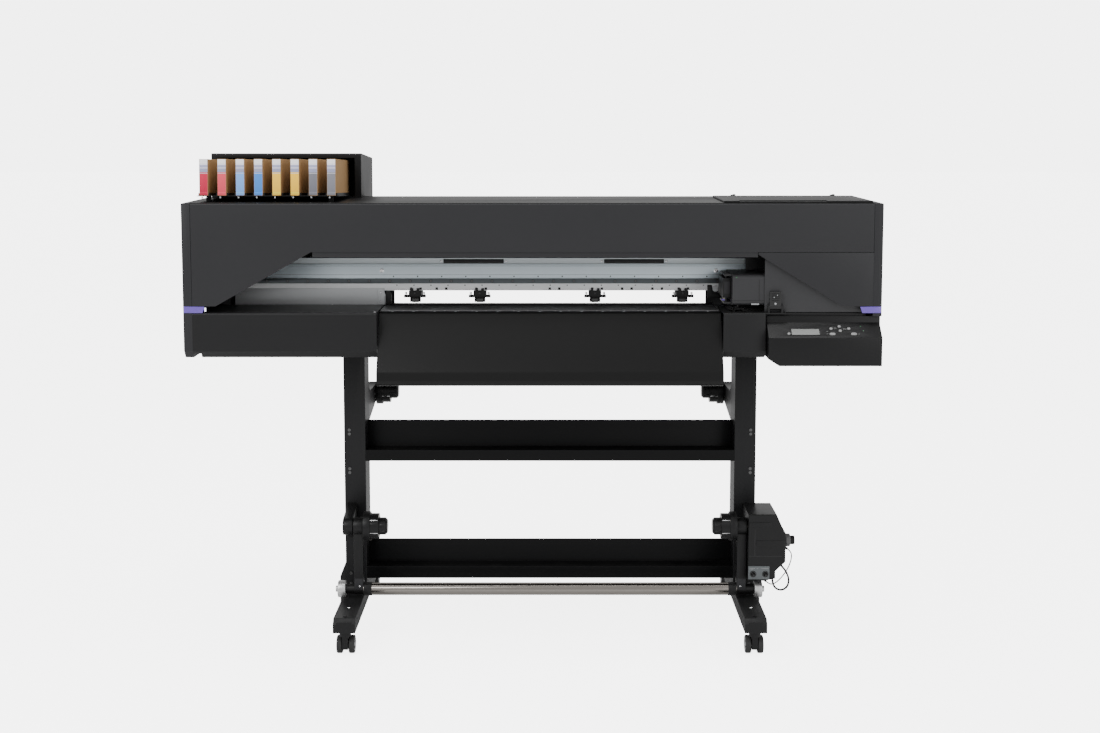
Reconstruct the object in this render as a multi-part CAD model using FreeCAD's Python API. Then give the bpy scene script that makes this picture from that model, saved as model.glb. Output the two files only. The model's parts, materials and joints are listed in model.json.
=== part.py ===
"""Wide-format printer cutter on a stand: every piece is a solid in its own STEP file.

Millimetres. X runs to the operator's right, Y to the rear, Z up. The origin is on the floor, under the
middle of the machine's box.
"""
import FreeCAD
import Part

import math
import os

V = FreeCAD.Vector

# ---------------------------------------------------------------- clearances
SEAT = 0.2  # between pieces that bear on each other
RUNNING = 0.05  # radial, shafts in their holes
KEY_GAP = 0.3  # round a key in its hole
SLIDE_GAP = 0.4  # between a slider and its track
SWING_GAP = 2.5  # beside a swinging arm
COVER_GAP = 1.0  # between neighbouring covers

# ---------------------------------------------------------------- body
BODY_WIDTH = 1965.0
LEFT = -BODY_WIDTH / 2
RIGHT = BODY_WIDTH / 2
FRONT = -311.0
REAR = 300.0
DECK_REAR = 90.0  # where the flat top ends
TOP = 1294.0
DECK_DROP = 54.0  # fall of the top behind the flat part
COVER_T = 3.0
CAP_WIDTH = 25.5
SEAM_Z = 1156.5  # lower edge of the front cover
WING_Z = 1004.0  # bottom of the upper covers at the ends
WAIST_Z = 985.0  # top of the lower covers
LOWER_Z = 877.0  # lower edge of the lower front faces
BELLY_Z = 857.0  # underside
BELLY_CHAMFER = 15.0
BELLY_REAR = 150.0
SIDE_PLATE_T = 6.0
SIDE_PLATE_INSET = 41.5
MEDIA_CENTRE = 49.5  # the media path and the stand are centred here
PLATEN_WIDTH = 970.0
PLATEN_FRONT = -229.0
PLATEN_REAR = -72.0
PLATEN_T = 3.0
PLATEN_FLANGE = 20.0
PLATEN_Z = 983.0
PLATEN_LEFT = MEDIA_CENTRE - PLATEN_WIDTH / 2
PLATEN_RIGHT = MEDIA_CENTRE + PLATEN_WIDTH / 2
APRON_WIDTH = 974.0
APRON_LEFT = MEDIA_CENTRE - APRON_WIDTH / 2
APRON_RIGHT = MEDIA_CENTRE + APRON_WIDTH / 2
CAP_IN_LEFT = LEFT + CAP_WIDTH
CAP_IN_RIGHT = RIGHT - CAP_WIDTH
PLATE_LEFT = LEFT + SIDE_PLATE_INSET + SIDE_PLATE_T
PLATE_RIGHT = RIGHT - SIDE_PLATE_INSET - SIDE_PLATE_T

# front cover
COVER_FACE_T = 4.0
COVER_HINGE_INSET = 6.0
COVER_HINGE_DROP = 6.0
COVER_PIN_R = 2.5
WING_INNER = 66.5  # left wing: from the cap to the foot of the slanted edge
WING_OUTER = 336.5
LIP_DEPTH = 14.0
LIP_BACKSET = 3.0
COVER_RETURN = 14.0

# right side
RIGHT_WINDOW = 349.0  # from the right end to the left edge of the right cover
SLANT_FOOT = 112.0
LID_LEFT = 444.5
LID_RIGHT = 26.5
LID_DEPTH = 300.0
LID_FRONT_INSET = 21.0
LID_T = 6.0
LID_MARGIN = 18.0
LID_GRIP_LEFT = 401.0
LID_GRIP_RIGHT = 155.0
LID_GRIP_DEPTH = 24.0
LID_GRIP_SINK = 3.0
LID_PIN_R = 3.0
LID_EAR_R = 5.0
LID_EAR_INSET = 60.0
LID_PIN_BEHIND = 6.0
LID_PIN_RISE = 5.0
STEP_X = 327.0  # from the right end to the panel's left side
STEP_BACK = 23.0
INNER_LEFT = 327.5  # from the right end to the inner cover's left edge
INNER_FRONT = -288.5
INNER_T = 2.0
INNER_TOP = 1150.0
INNER_FLANGE = 60.0

# ---------------------------------------------------------------- base
BASE_FRONT = -200.0
BASE_REAR = 60.0
BASE_Z0 = 868.0
BASE_Z1 = 948.0
BASE_WALL = 4.0
PLATE_HOLE_R = 60.0

# rail beam
BEAM_FRONT = -111.0
BEAM_REAR = -60.0
BEAM_Z0 = 1027.0
BEAM_Z1 = 1104.0
BAND_TOP = 1048.0
BAND_PROUD = 4.0
STRIP_TOP = 1122.0
STRIP_BACKSET = 6.0
BEAM_WALL = 5.0
RAIL_Z0 = 1048.6
RAIL_HEIGHT = 14.0
RAIL_DEPTH = 10.0
RAIL_END_GAP = 5.0
LAMP_SLOTS = ((-264.0, -86.0), (208.0, 385.0))
LAMP_SLOT_HEIGHT = 13.0
LAMP_SLOT_DEPTH = 2.0

# belt drive
BELT_Z0 = 1100.0
BELT_HEIGHT = 10.0
BELT_T = 1.5
PULLEY_R = 14.0
PULLEY_BORE = 4.0
PULLEY_INSET = 35.0
BELT_CENTRE_Y = -29.8
MOTOR_SIDE = 59.0
MOTOR_HEIGHT = 68.0
IDLER_SIDE = 40.0
IDLER_HEIGHT = 16.0

# carriage
CARRIAGE_WIDTH = 174.0
CARRIAGE_RIGHT_GAP = 243.5
CARRIAGE_FRONT = -285.0
CARRIAGE_BACK = -122.5
CARRIAGE_Z0 = 1004.0
CARRIAGE_Z1 = 1090.0
CARRIAGE_ROUND = 10.0
HEAD_WIDTH = 120.0
HEAD_FRONT = -215.0
HEAD_BACK = -130.0
HEAD_Z0 = 988.0
SLIDER_HEIGHT = 9.0
SLIDER_INSET = 20.0
GRIP_WIDTH = 60.0
GRIP_T = 5.0
GRIP_TAB = 3.0
CUTTER_WIDTH = 24.0
CUTTER_FRONT = -255.0
CUTTER_BACK = -140.0
CUTTER_Z0 = 1022.0
CUTTER_Z1 = 1078.0
BLADE_R = 8.0
BLADE_TIP_Z = 991.0
BLADE_TIP_LENGTH = 10.0
CUTTER_PIN_R = 4.0

# pinch rollers and grit roller
PINCH_X = (-347.0, -157.0, 182.0, 439.0)
PINCH_PIVOT_Y = -45.0
PINCH_PIVOT_Z = 1034.0
PINCH_SHAFT_R = 4.0
PINCH_SHAFT_END = 60.0
PINCH_HUB_R = 7.5
PINCH_LIFT_DEG = 7.5
PINCH_WHEEL_R = 8.0
PINCH_WHEEL_WIDTH = 20.0
PINCH_AXLE_R = 2.5
PINCH_CHEEK = 5.0
PINCH_WING = 32.0
GRIT_Y = -95.0
GRIT_R = 9.0
GRIT_SHAFT_R = 5.0
GRIT_LENGTH = 40.0
GRIT_SLOT_GAP = 1.5
NIP = 0.4
GRIT_BLOCK = 14.0

# clamp lever
LEVER_X = 298.5  # from the right end to its middle
LEVER_WIDTH = 32.0
LEVER_Y = -297.5
LEVER_T = 10.0
LEVER_Z = 1000.0
LEVER_TOP = 1044.0
LEVER_PIN_R = 3.0
LEVER_EAR_T = 5.0
LEVER_HUB_R = 6.5

# capping station
CAPPING_LEFT = 415.0
CAPPING_RIGHT = 255.0
CAPPING_FRONT = -268.0
CAPPING_BACK = -132.0
CAPPING_Z1 = 966.0
CAP_PAD = 40.0
CAP_PAD_Z = 985.5

# media guides
APRON_T = 2.0
APRON_PATH = ((-230.5, 981.0), (-246.0, 981.0), (-342.0, 822.0), (-345.5, 786.0), (-318.0, 779.0))
APRON_BEND = 14.0
GUIDE_PATH = ((-71.5, 983.0), (-20.0, 979.0), (80.0, 948.0), (200.0, 885.0), (225.0, 850.0))
GUIDE_BEND = 20.0
GUIDE_T = 2.0

# operation panel
PANEL_X0 = 321.5
PANEL_X1 = 3.5
PANEL_FRONT = -341.0
PANEL_BACK = FRONT + STEP_BACK - SEAT
PANEL_Z0 = 839.0
PANEL_EDGE_Z = 919.0
PANEL_SLOPE_REAR = -298.0
PANEL_SLOPE_Z = 957.0
PANEL_TOP_Z = 975.0
PANEL_WALL = 5.0
PANEL_CORNER = 32.0
SCREEN_X = (727.0, 805.0)
SCREEN_PLACE = (0.20, 0.58)
SCREEN_T = 1.5
KEY_PROUD = 1.6
KEY_DEPTH = 4.0
# name: (distance from the panel's left side, place up the slope, width, height)
KEYS = {
    "power_button": (58.0, 0.28, 8.0, 8.0),
    "key_up": (202.0, 0.74, 9.0, 8.0),
    "key_left": (178.0, 0.60, 9.0, 8.0),
    "key_right": (228.0, 0.60, 9.0, 8.0),
    "key_down": (203.0, 0.46, 9.0, 8.0),
    "key_end": (180.0, 0.26, 17.0, 9.0),
    "key_enter": (240.0, 0.26, 17.0, 9.0),
}

# ---------------------------------------------------------------- ink unit
INK_LEFT = 22.5
INK_WIDTH = 446.0
INK_FRONT = -11.0
INK_REAR = 279.0
INK_FRONT_Z = 1427.0
INK_REAR_Z = 1406.0
INK_WALL = 5.0
INK_SIDE_WALL = 19.0
INK_TRAY_T = 2.0
PACK_COUNT = 8
PACK_PITCH = 51.5
PACK_FIRST = 42.5
PACK_WIDTH = 24.0
PACK_HEIGHT = 103.0
PACK_LENGTH = 300.0
PACK_FRONT = -260.0
PACK_FRONT_Z = 1313.0
PACK_TILT = 2.4
PACK_RIB = 4.0
PACK_RIB_HEIGHT = 7.0

# ---------------------------------------------------------------- stand
LEG_SPREAD = 586.0
LEG_WIDTH = 64.0
LEG_FRONT = -61.0
LEG_REAR = 45.0
LEG_WALL = 3.0
FOOT_LENGTH = 700.0
FOOT_Z0 = 72.0
FOOT_Z1 = 112.0
FOOT_WALL = 3.0
FOOT_NOSE = 14.0
FOOT_SLOT_R = 6.0
FOOT_SLOT_Y = 238.0
GUSSET_OUT = 17.5
GUSSET_TOP = 194.0
GUSSET_SHOULDER = 150.0
BEAM_SHEET = 3.0
UPPER_LIP_Z = 505.0
UPPER_SHELF_Z = 539.0
UPPER_WALL_Z = 619.0
LOWER_LIP_Z = 144.0
LOWER_SHELF_Z = 181.0
LOWER_WALL_Z = 250.0
SHELF_DEPTH = 60.0

CASTER_Y = 323.0
CASTER_TRAIL = 18.0
CASTER_R = 26.0
CASTER_WHEEL_T = 17.0
CASTER_HUB = 8.0
CASTER_AXLE_R = 4.0
CASTER_STEM_R = 5.0
CASTER_PLATE_Z = 92.0
CASTER_PLATE_T = 6.0
CASTER_NECK_R = 17.0

# ---------------------------------------------------------------- rolls
SPINDLE_R = 8.0
STOP_R = 43.0
STOP_T = 20.0
CORE3_R = 37.9
CORE3_LENGTH = 25.0
CORE2_R = 25.2
CORE2_LENGTH = 25.0
FLANGE_CHAMFER = 6.0
FEED_Y = 252.0
FEED_Z = 664.0
FEED_ARM_T = 25.0
FEED_ARM_R = 28.0
TAKE_Y = -161.0
TAKE_Z = 333.0
TAKE_ARM_T = 27.0
TAKE_HUB_R = 26.0
TAKE_BRACKET_T = 29.0
SWING_R = 190.0
SWING_ARM_WIDTH = 30.0
BAR_R = 18.5
BAR_WALL = 2.0
COLLAR_R = 14.0
COLLAR_LENGTH = 26.0
WEIGHT_R = 25.0
WEIGHT_LENGTH = 23.0
END_KNOB_R = 9.0
END_KNOB_LENGTH = 7.0

# motor unit
UNIT_WIDTH = 110.0
UNIT_FRONT = -200.0
UNIT_TOP = 377.0
UNIT_BOTTOM = 178.0
UNIT_BORE_DEPTH = 60.0
SWITCH_X0 = 1.0
SWITCH_X1 = 63.0
SWITCH_Z0 = 184.0
SWITCH_Z1 = 223.0
SWITCH_T = 2.0
TOGGLE_X = (15.0, 51.0)
TOGGLE_Z = 200.0
TOGGLE_R = 3.0
TOGGLE_PIVOT = 5.0
TOGGLE_GAP = 0.3
TOGGLE_LENGTH = 14.0
KNOB_Z = 291.0
KNOB_SHAFT_R = 6.0
KNOB_RING_R = 19.0
KNOB_RING_GAP = 1.0
KNOB_RING_LENGTH = 14.0
KNOB_CAP_R = 12.5
KNOB_CAP_LENGTH = 13.0

# ---------------------------------------------------------------- loose leads
CABLE_R = 3.0
CABLE_ROUTE = (
    (727.5, -165.0, 220.5),
    (741.0, -166.0, 206.3),
    (751.5, -168.0, 189.0),
    (756.0, -169.5, 169.5),
    (751.0, -168.5, 150.5),
    (735.5, -166.0, 139.5),
    (717.5, -164.0, 144.0),
    (708.0, -162.5, 160.5),
    (707.0, -162.0, 181.0),
)
LEAD_R = 1.75
LEAD_ROUTE = (
    (747.0, -186.0, 271.0),
    (757.0, -186.5, 264.0),
    (760.0, -187.0, 248.0),
    (755.0, -187.5, 226.0),
    (744.0, -188.0, 204.0),
    (729.5, -187.5, 184.0),
    (713.5, -187.0, 168.5),
    (697.0, -186.5, 163.0),
    (685.5, -186.0, 173.5),
)
GLAND_R = 5.5
ARC_SHARE = 0.45

# ---------------------------------------------------------------- fasteners
SCREW_HEAD_R = 4.5
SCREW_HEAD_T = 2.4
SCREW_R = 2.4
SCREW_GAP = 0.1
SCREW_LENGTH = 8.0
LEG_SCREW_Z = (128.0, 160.0, 470.0, 482.0, 588.0, 600.0)
LEG_SCREW_IN = 16.0
BACK_SCREW_STEP = 230.0

# ---------------------------------------------------------------- power inlet
INLET_X = -700.0
INLET_Z = 930.0
INLET_WIDTH = 50.0
INLET_HEIGHT = 28.0
INLET_DEPTH = 20.0


# ================================================================ shape helpers

# Places that follow from the values above
LEG_LEFT = MEDIA_CENTRE - LEG_SPREAD - LEG_WIDTH / 2
LEG_INNER = LEG_LEFT + LEG_WIDTH
LEG_RIGHT_IN = 2 * MEDIA_CENTRE - LEG_INNER
LEG_RIGHT_OUT = 2 * MEDIA_CENTRE - LEG_LEFT
FOOT_HALF = FOOT_LENGTH / 2
LEG_SCREW_X = (LEG_LEFT + LEG_SCREW_IN, LEG_RIGHT_OUT - LEG_SCREW_IN)
GRIT_AXIS_Z = PLATEN_Z - GRIT_R
CARRIAGE_X1 = RIGHT - CARRIAGE_RIGHT_GAP
CARRIAGE_X0 = CARRIAGE_X1 - CARRIAGE_WIDTH
LID_HINGE_Y = FRONT + LID_FRONT_INSET + LID_DEPTH + LID_PIN_BEHIND
LID_HINGE_Z = TOP + LID_PIN_RISE
PANEL_LEFT = RIGHT - PANEL_X0
SLOPE_Y = PANEL_SLOPE_REAR - PANEL_FRONT
SLOPE_Z = PANEL_SLOPE_Z - PANEL_EDGE_Z
SLOPE_LENGTH = math.hypot(SLOPE_Y, SLOPE_Z)
SLOPE_ANGLE = math.degrees(math.atan2(SLOPE_Z, SLOPE_Y))
RIGHT_AT_DESIGN = 982.5
INK_X0 = LEFT + INK_LEFT
INK_X1 = INK_X0 + INK_WIDTH
FEED_FACE = LEG_INNER - 1.0
TAKE_FACE = MEDIA_CENTRE - 551.0
SWING_OUT = TAKE_FACE - TAKE_ARM_T
UNIT_X0 = 2 * MEDIA_CENTRE - SWING_OUT + SWING_GAP


def block(x0, x1, y0, y1, z0, z1):
    """A box between two corners."""
    return Part.makeBox(x1 - x0, y1 - y0, z1 - z0, V(x0, y0, z0))


def rod_x(x0, x1, y, z, radius):
    """A cylinder along X."""
    return Part.makeCylinder(radius, x1 - x0, V(x0, y, z), V(1, 0, 0))


def rod_y(x, y0, y1, z, radius):
    """A cylinder along Y."""
    return Part.makeCylinder(radius, y1 - y0, V(x, y0, z), V(0, 1, 0))


def rod_z(x, y, z0, z1, radius):
    """A cylinder along Z."""
    return Part.makeCylinder(radius, z1 - z0, V(x, y, z0), V(0, 0, 1))


def cone_x(x0, x1, y, z, r0, r1):
    """A cone frustum along X, from r0 at x0 to r1 at x1."""
    if x1 > x0:
        return Part.makeCone(r0, r1, x1 - x0, V(x0, y, z), V(1, 0, 0))
    return Part.makeCone(r0, r1, x0 - x1, V(x0, y, z), V(-1, 0, 0))


def join(*shapes):
    """One solid out of shapes that overlap or share faces."""
    return shapes[0].fuse(list(shapes[1:])).removeSplitter()


def group(*shapes):
    """Separate solids kept side by side."""
    return Part.makeCompound([s for shape in shapes for s in shape.Solids])


def corner_arc(before, corner, after, radius):
    """Start, middle and end of the arc that rounds a corner."""
    a = (before - corner).normalize()
    b = (after - corner).normalize()
    half = a.getAngle(b) / 2
    reach = radius / math.tan(half)
    middle = (a + b).normalize() * (radius / math.sin(half) - radius)
    return corner + a * reach, corner + middle, corner + b * reach


def rounded_face(points, radii):
    """A face whose outline has the given radius at each corner, zero for a sharp one."""
    count = len(points)
    spans = []
    for i, point in enumerate(points):
        if radii[i] > 0:
            spans.append(corner_arc(points[i - 1], point, points[(i + 1) % count], radii[i]))
        else:
            spans.append((point, None, point))
    edges = []
    for i, (start, middle, end) in enumerate(spans):
        if middle is not None:
            edges.append(Part.Arc(start, middle, end).toShape())
        following = spans[(i + 1) % count][0]
        if end.distanceToPoint(following) > 1e-6:
            edges.append(Part.LineSegment(end, following).toShape())
    return Part.Face(Part.Wire(edges))


def prism_x(outline, x0, x1, radius=0.0):
    """A (y, z) outline extruded along X, every corner rounded alike."""
    points = [V(x0, y, z) for y, z in outline]
    return rounded_face(points, [radius] * len(points)).extrude(V(x1 - x0, 0, 0))


def prism_y(outline, y0, y1, radius=0.0):
    """An (x, z) outline extruded along Y, every corner rounded alike."""
    points = [V(x, y0, z) for x, z in outline]
    return rounded_face(points, [radius] * len(points)).extrude(V(0, y1 - y0, 0))


def offset_path(path, distance):
    """The (y, z) path moved sideways to its left by a distance, with mitred corners."""
    points = [V(y, z, 0) for y, z in path]
    normals = []
    for a, b in zip(points, points[1:]):
        along = (b - a).normalize()
        normals.append(V(-along.y, along.x, 0))
    moved = [points[0] + normals[0] * distance]
    for i in range(1, len(points) - 1):
        mitre = normals[i - 1] + normals[i]
        moved.append(points[i] + mitre * (distance / (mitre.dot(normals[i]))))
    moved.append(points[-1] + normals[-1] * distance)
    return [(p.x, p.y) for p in moved]


def turns_left(before, corner, after):
    """Whether a (y, z) path turns left at a corner."""
    first = (corner[0] - before[0], corner[1] - before[1])
    second = (after[0] - corner[0], after[1] - corner[1])
    return first[0] * second[1] - first[1] * second[0] > 0


def sheet_x(path, thickness, bend, x0, x1):
    """Folded sheet along X: the path is its outer line, the sheet lies to the path's left."""
    inner = offset_path(path, thickness)
    outer_radii = [0.0] * len(path)
    inner_radii = [0.0] * len(path)
    for i in range(1, len(path) - 1):
        left = turns_left(path[i - 1], path[i], path[i + 1])
        outer_radii[i] = bend + thickness if left else bend
        inner_radii[i] = bend if left else bend + thickness
    points = [V(x0, y, z) for y, z in list(path) + inner[::-1]]
    return rounded_face(points, outer_radii + inner_radii[::-1]).extrude(V(x1 - x0, 0, 0))


def round_edges(shape, radius, chosen):
    """Fillets the edges that a test picks."""
    edges = [e for e in shape.Edges if chosen(e)]
    return shape.makeFillet(radius, edges) if edges else shape


def runs_along(axis):
    """A test for straight edges along an axis."""
    def test(edge):
        if not isinstance(edge.Curve, (Part.Line, Part.LineSegment)):
            return False
        along = (edge.Vertexes[-1].Point - edge.Vertexes[0].Point).normalize()
        return abs(along.dot(axis)) > 0.999
    return test


def mirrored(shape, x=MEDIA_CENTRE):
    """The shape's mirror image across the plane at x."""
    return shape.mirror(V(x, 0, 0), V(1, 0, 0))


def turned_x(shape, y, z, degrees):
    """The shape turned about a line along X: a positive angle lifts what lies behind the line."""
    copy = shape.copy()
    copy.rotate(V(0, y, z), V(1, 0, 0), degrees)
    return copy


# ================================================================ stand


def stand_legs():
    """Two rectangular tubes with screw holes in the front face."""
    tube = block(LEG_LEFT, LEG_INNER, LEG_FRONT, LEG_REAR, FOOT_Z1 + SEAT, BASE_Z0 - SEAT)
    bore = block(LEG_LEFT + LEG_WALL, LEG_INNER - LEG_WALL, LEG_FRONT + LEG_WALL,
                 LEG_REAR - LEG_WALL, FOOT_Z1, BASE_Z0)
    tube = round_edges(tube, 2.0, runs_along(V(0, 0, 1))).cut(bore)
    holes = [rod_y(LEG_SCREW_X[0], LEG_FRONT - 1, LEG_FRONT + LEG_WALL + 1, z, SCREW_R + SCREW_GAP)
             for z in LEG_SCREW_Z]
    left = tube.cut(holes)
    return group(left, mirrored(left))


def foot():
    """The left foot: an inverted channel with a side gusset and two caster plates."""
    outline = [(-FOOT_HALF, FOOT_Z0), (-FOOT_HALF, FOOT_Z1 - FOOT_NOSE),
               (-FOOT_HALF + FOOT_NOSE, FOOT_Z1),
               (FOOT_HALF - FOOT_NOSE, FOOT_Z1), (FOOT_HALF, FOOT_Z1 - FOOT_NOSE), (FOOT_HALF, FOOT_Z0)]
    body = prism_x(outline, LEG_LEFT, LEG_INNER)
    inner = [(-FOOT_HALF + FOOT_WALL, FOOT_Z0 - 1), (-FOOT_HALF + FOOT_WALL, FOOT_Z1 - FOOT_NOSE - 1),
             (-FOOT_HALF + FOOT_NOSE + 1, FOOT_Z1 - FOOT_WALL), (FOOT_HALF - FOOT_NOSE - 1,
                                                                 FOOT_Z1 - FOOT_WALL),
             (FOOT_HALF - FOOT_WALL, FOOT_Z1 - FOOT_NOSE - 1), (FOOT_HALF - FOOT_WALL, FOOT_Z0 - 1)]
    body = body.cut(prism_x(inner, LEG_LEFT + FOOT_WALL, LEG_INNER - FOOT_WALL))
    middle = LEG_LEFT + LEG_WIDTH / 2
    parts = [body]
    holes = []
    for side in (-1, 1):
        y = side * CASTER_Y
        parts.append(block(LEG_LEFT + 1, LEG_INNER - 1, y - CASTER_NECK_R, y + CASTER_NECK_R,
                           CASTER_PLATE_Z, CASTER_PLATE_Z + CASTER_PLATE_T))
        holes.append(rod_z(middle, y, CASTER_PLATE_Z - 1, FOOT_Z1 + 1, CASTER_STEM_R + RUNNING))
        holes.append(rod_z(middle, side * FOOT_SLOT_Y, FOOT_Z1 - FOOT_WALL - 1, FOOT_Z1 + 1,
                           FOOT_SLOT_R))
    gusset = [(LEG_LEFT, FOOT_Z0), (LEG_LEFT, GUSSET_TOP), (LEG_LEFT - GUSSET_OUT, GUSSET_SHOULDER),
              (LEG_LEFT - GUSSET_OUT, FOOT_Z0)]
    parts.append(prism_y(gusset, LEG_FRONT, LEG_REAR))
    return join(*parts).cut(holes)


def stand_feet():
    """Both feet."""
    left = foot()
    return group(left, mirrored(left))


def z_beam(lip_z, shelf_z, wall_z):
    """A Z-section beam between the legs."""
    path = [(LEG_FRONT + BEAM_SHEET + 12, lip_z), (LEG_FRONT, lip_z), (LEG_FRONT, shelf_z),
            (LEG_FRONT + SHELF_DEPTH, shelf_z), (LEG_FRONT + SHELF_DEPTH, wall_z)]
    return sheet_x(path, -BEAM_SHEET, 1.5, LEG_INNER, LEG_RIGHT_IN)


def cross_beams():
    """Upper and lower beams."""
    return group(z_beam(UPPER_LIP_Z, UPPER_SHELF_Z, UPPER_WALL_Z),
                 z_beam(LOWER_LIP_Z, LOWER_SHELF_Z, LOWER_WALL_Z))


def caster_places():
    """Name, x, y and the direction of the trail of each caster."""
    left = LEG_LEFT + LEG_WIDTH / 2
    right = 2 * MEDIA_CENTRE - left
    return [("front_left", left, -CASTER_Y, 1), ("front_right", right, -CASTER_Y, 1),
            ("rear_left", left, CASTER_Y, -1), ("rear_right", right, CASTER_Y, -1)]


def caster_fork(x, y, trail):
    """Swivel stem, neck and the web between the twin wheels."""
    axle_y = y + trail * CASTER_TRAIL
    stem = rod_z(x, y, FOOT_Z0 - 3, FOOT_Z1 + 2.0, CASTER_STEM_R)
    neck = rod_z(x, y, FOOT_Z0 - 15, FOOT_Z0 - 1, CASTER_NECK_R)
    collar = rod_z(x, y, FOOT_Z0 - 2, CASTER_PLATE_Z - SEAT, CASTER_STEM_R + 3)
    web = block(x - CASTER_HUB, x + CASTER_HUB, min(y, axle_y) - 9, max(y, axle_y) + 9, CASTER_R - 10,
                FOOT_Z0 - 12)
    web = round_edges(web, 5.0, runs_along(V(1, 0, 0)))
    bore = rod_x(x - 30, x + 30, axle_y, CASTER_R, CASTER_AXLE_R + RUNNING)
    return join(stem, neck, collar, web).cut(bore)


def caster_wheels(x, y, trail):
    """Twin wheels on one axle."""
    axle_y = y + trail * CASTER_TRAIL
    inner = CASTER_HUB + 1.0
    axle = rod_x(x - inner - 2, x + inner + 2, axle_y, CASTER_R, CASTER_AXLE_R)
    wheels = []
    for side in (-1, 1):
        near = x + side * inner
        far = x + side * (inner + CASTER_WHEEL_T)
        wheel = rod_x(min(near, far), max(near, far), axle_y, CASTER_R, CASTER_R)
        wheel = wheel.makeFillet(4.0, [e for e in wheel.Edges if isinstance(e.Curve, Part.Circle)])
        dish = far - side * 3.0
        wheels.append(wheel.cut(rod_x(min(dish, far), max(dish, far), axle_y, CASTER_R,
                                      CASTER_R * 0.55)))
    return join(axle, *wheels)


# ================================================================ base and rail
def hood_path(drop=0.0):
    """The top's outer line in (y, z), lowered by a drop."""
    return [(FRONT + LID_FRONT_INSET - 7, TOP - drop), (DECK_REAR, TOP - drop),
            (REAR, TOP - DECK_DROP - drop)]


def side_plate(x0):
    """One side plate under the hood."""
    top = [(y, z) for y, z in hood_path(COVER_T + SEAT)]
    rear = REAR - COVER_T - SEAT
    slope = DECK_DROP / (REAR - DECK_REAR)
    step = PANEL_BACK + COVER_GAP
    outline = [(step, BASE_Z0), (step, WAIST_Z), (FRONT + 12, WAIST_Z), (FRONT + 12, top[0][1]), top[1],
               (rear, top[1][1] - slope * (rear - DECK_REAR) - 1), (rear, BASE_Z0)]
    plate = prism_x(outline, x0, x0 + SIDE_PLATE_T)
    holes = [rod_x(x0 - 1, x0 + SIDE_PLATE_T + 1, y, z, PLATE_HOLE_R)
             for y, z in ((170.0, 1120.0), (170.0, 960.0))]
    return plate.cut(holes)


def base_frame():
    """Box beam across the machine and the two side plates."""
    tube = block(PLATE_LEFT - 1, PLATE_RIGHT + 1, BASE_FRONT, BASE_REAR, BASE_Z0, BASE_Z1)
    bore = block(PLATE_LEFT - 10, PLATE_RIGHT + 10, BASE_FRONT + BASE_WALL, BASE_REAR - BASE_WALL,
                 BASE_Z0 + BASE_WALL, BASE_Z1 - BASE_WALL)
    return join(tube.cut(bore), side_plate(PLATE_LEFT - SIDE_PLATE_T), side_plate(PLATE_RIGHT))


def rail_beam():
    """Hollow extrusion with the lower band, the lamp strip and the pinch arms' shaft on its hangers."""
    strip_y = BEAM_FRONT + STRIP_BACKSET
    outline = [(BEAM_FRONT - BAND_PROUD, BEAM_Z0), (BEAM_FRONT - BAND_PROUD, BAND_TOP),
               (BEAM_FRONT, BAND_TOP),
               (BEAM_FRONT, BEAM_Z1), (strip_y, BEAM_Z1), (strip_y, STRIP_TOP), (BEAM_REAR, STRIP_TOP),
               (BEAM_REAR, BEAM_Z0)]
    x0 = PLATE_LEFT + SEAT
    x1 = PLATE_RIGHT - SEAT
    beam = prism_x(outline, x0, x1)
    bore = block(x0 - 1, x1 + 1, strip_y + BEAM_WALL, BEAM_REAR - BEAM_WALL, BEAM_Z0 + BEAM_WALL,
                 STRIP_TOP - BEAM_WALL)
    slots = [block(a, b, strip_y - 1, strip_y + LAMP_SLOT_DEPTH, BEAM_Z1 + 2,
                   BEAM_Z1 + 2 + LAMP_SLOT_HEIGHT)
             for a, b in LAMP_SLOTS]
    ends = (PINCH_X[0] - PINCH_SHAFT_END, PINCH_X[-1] + PINCH_SHAFT_END)
    shaft = rod_x(ends[0], ends[1], PINCH_PIVOT_Y, PINCH_PIVOT_Z, PINCH_SHAFT_R)
    hangers = [block(x - 5, x + 5, BEAM_REAR - 1, PINCH_PIVOT_Y + 8, BEAM_Z0 + 1, BEAM_Z0 + 16)
               for x in (ends[0] + 6, (PINCH_X[1] + PINCH_X[2]) / 2, ends[1] - 6)]
    return join(beam.cut([bore] + slots), shaft, *hangers)


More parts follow.
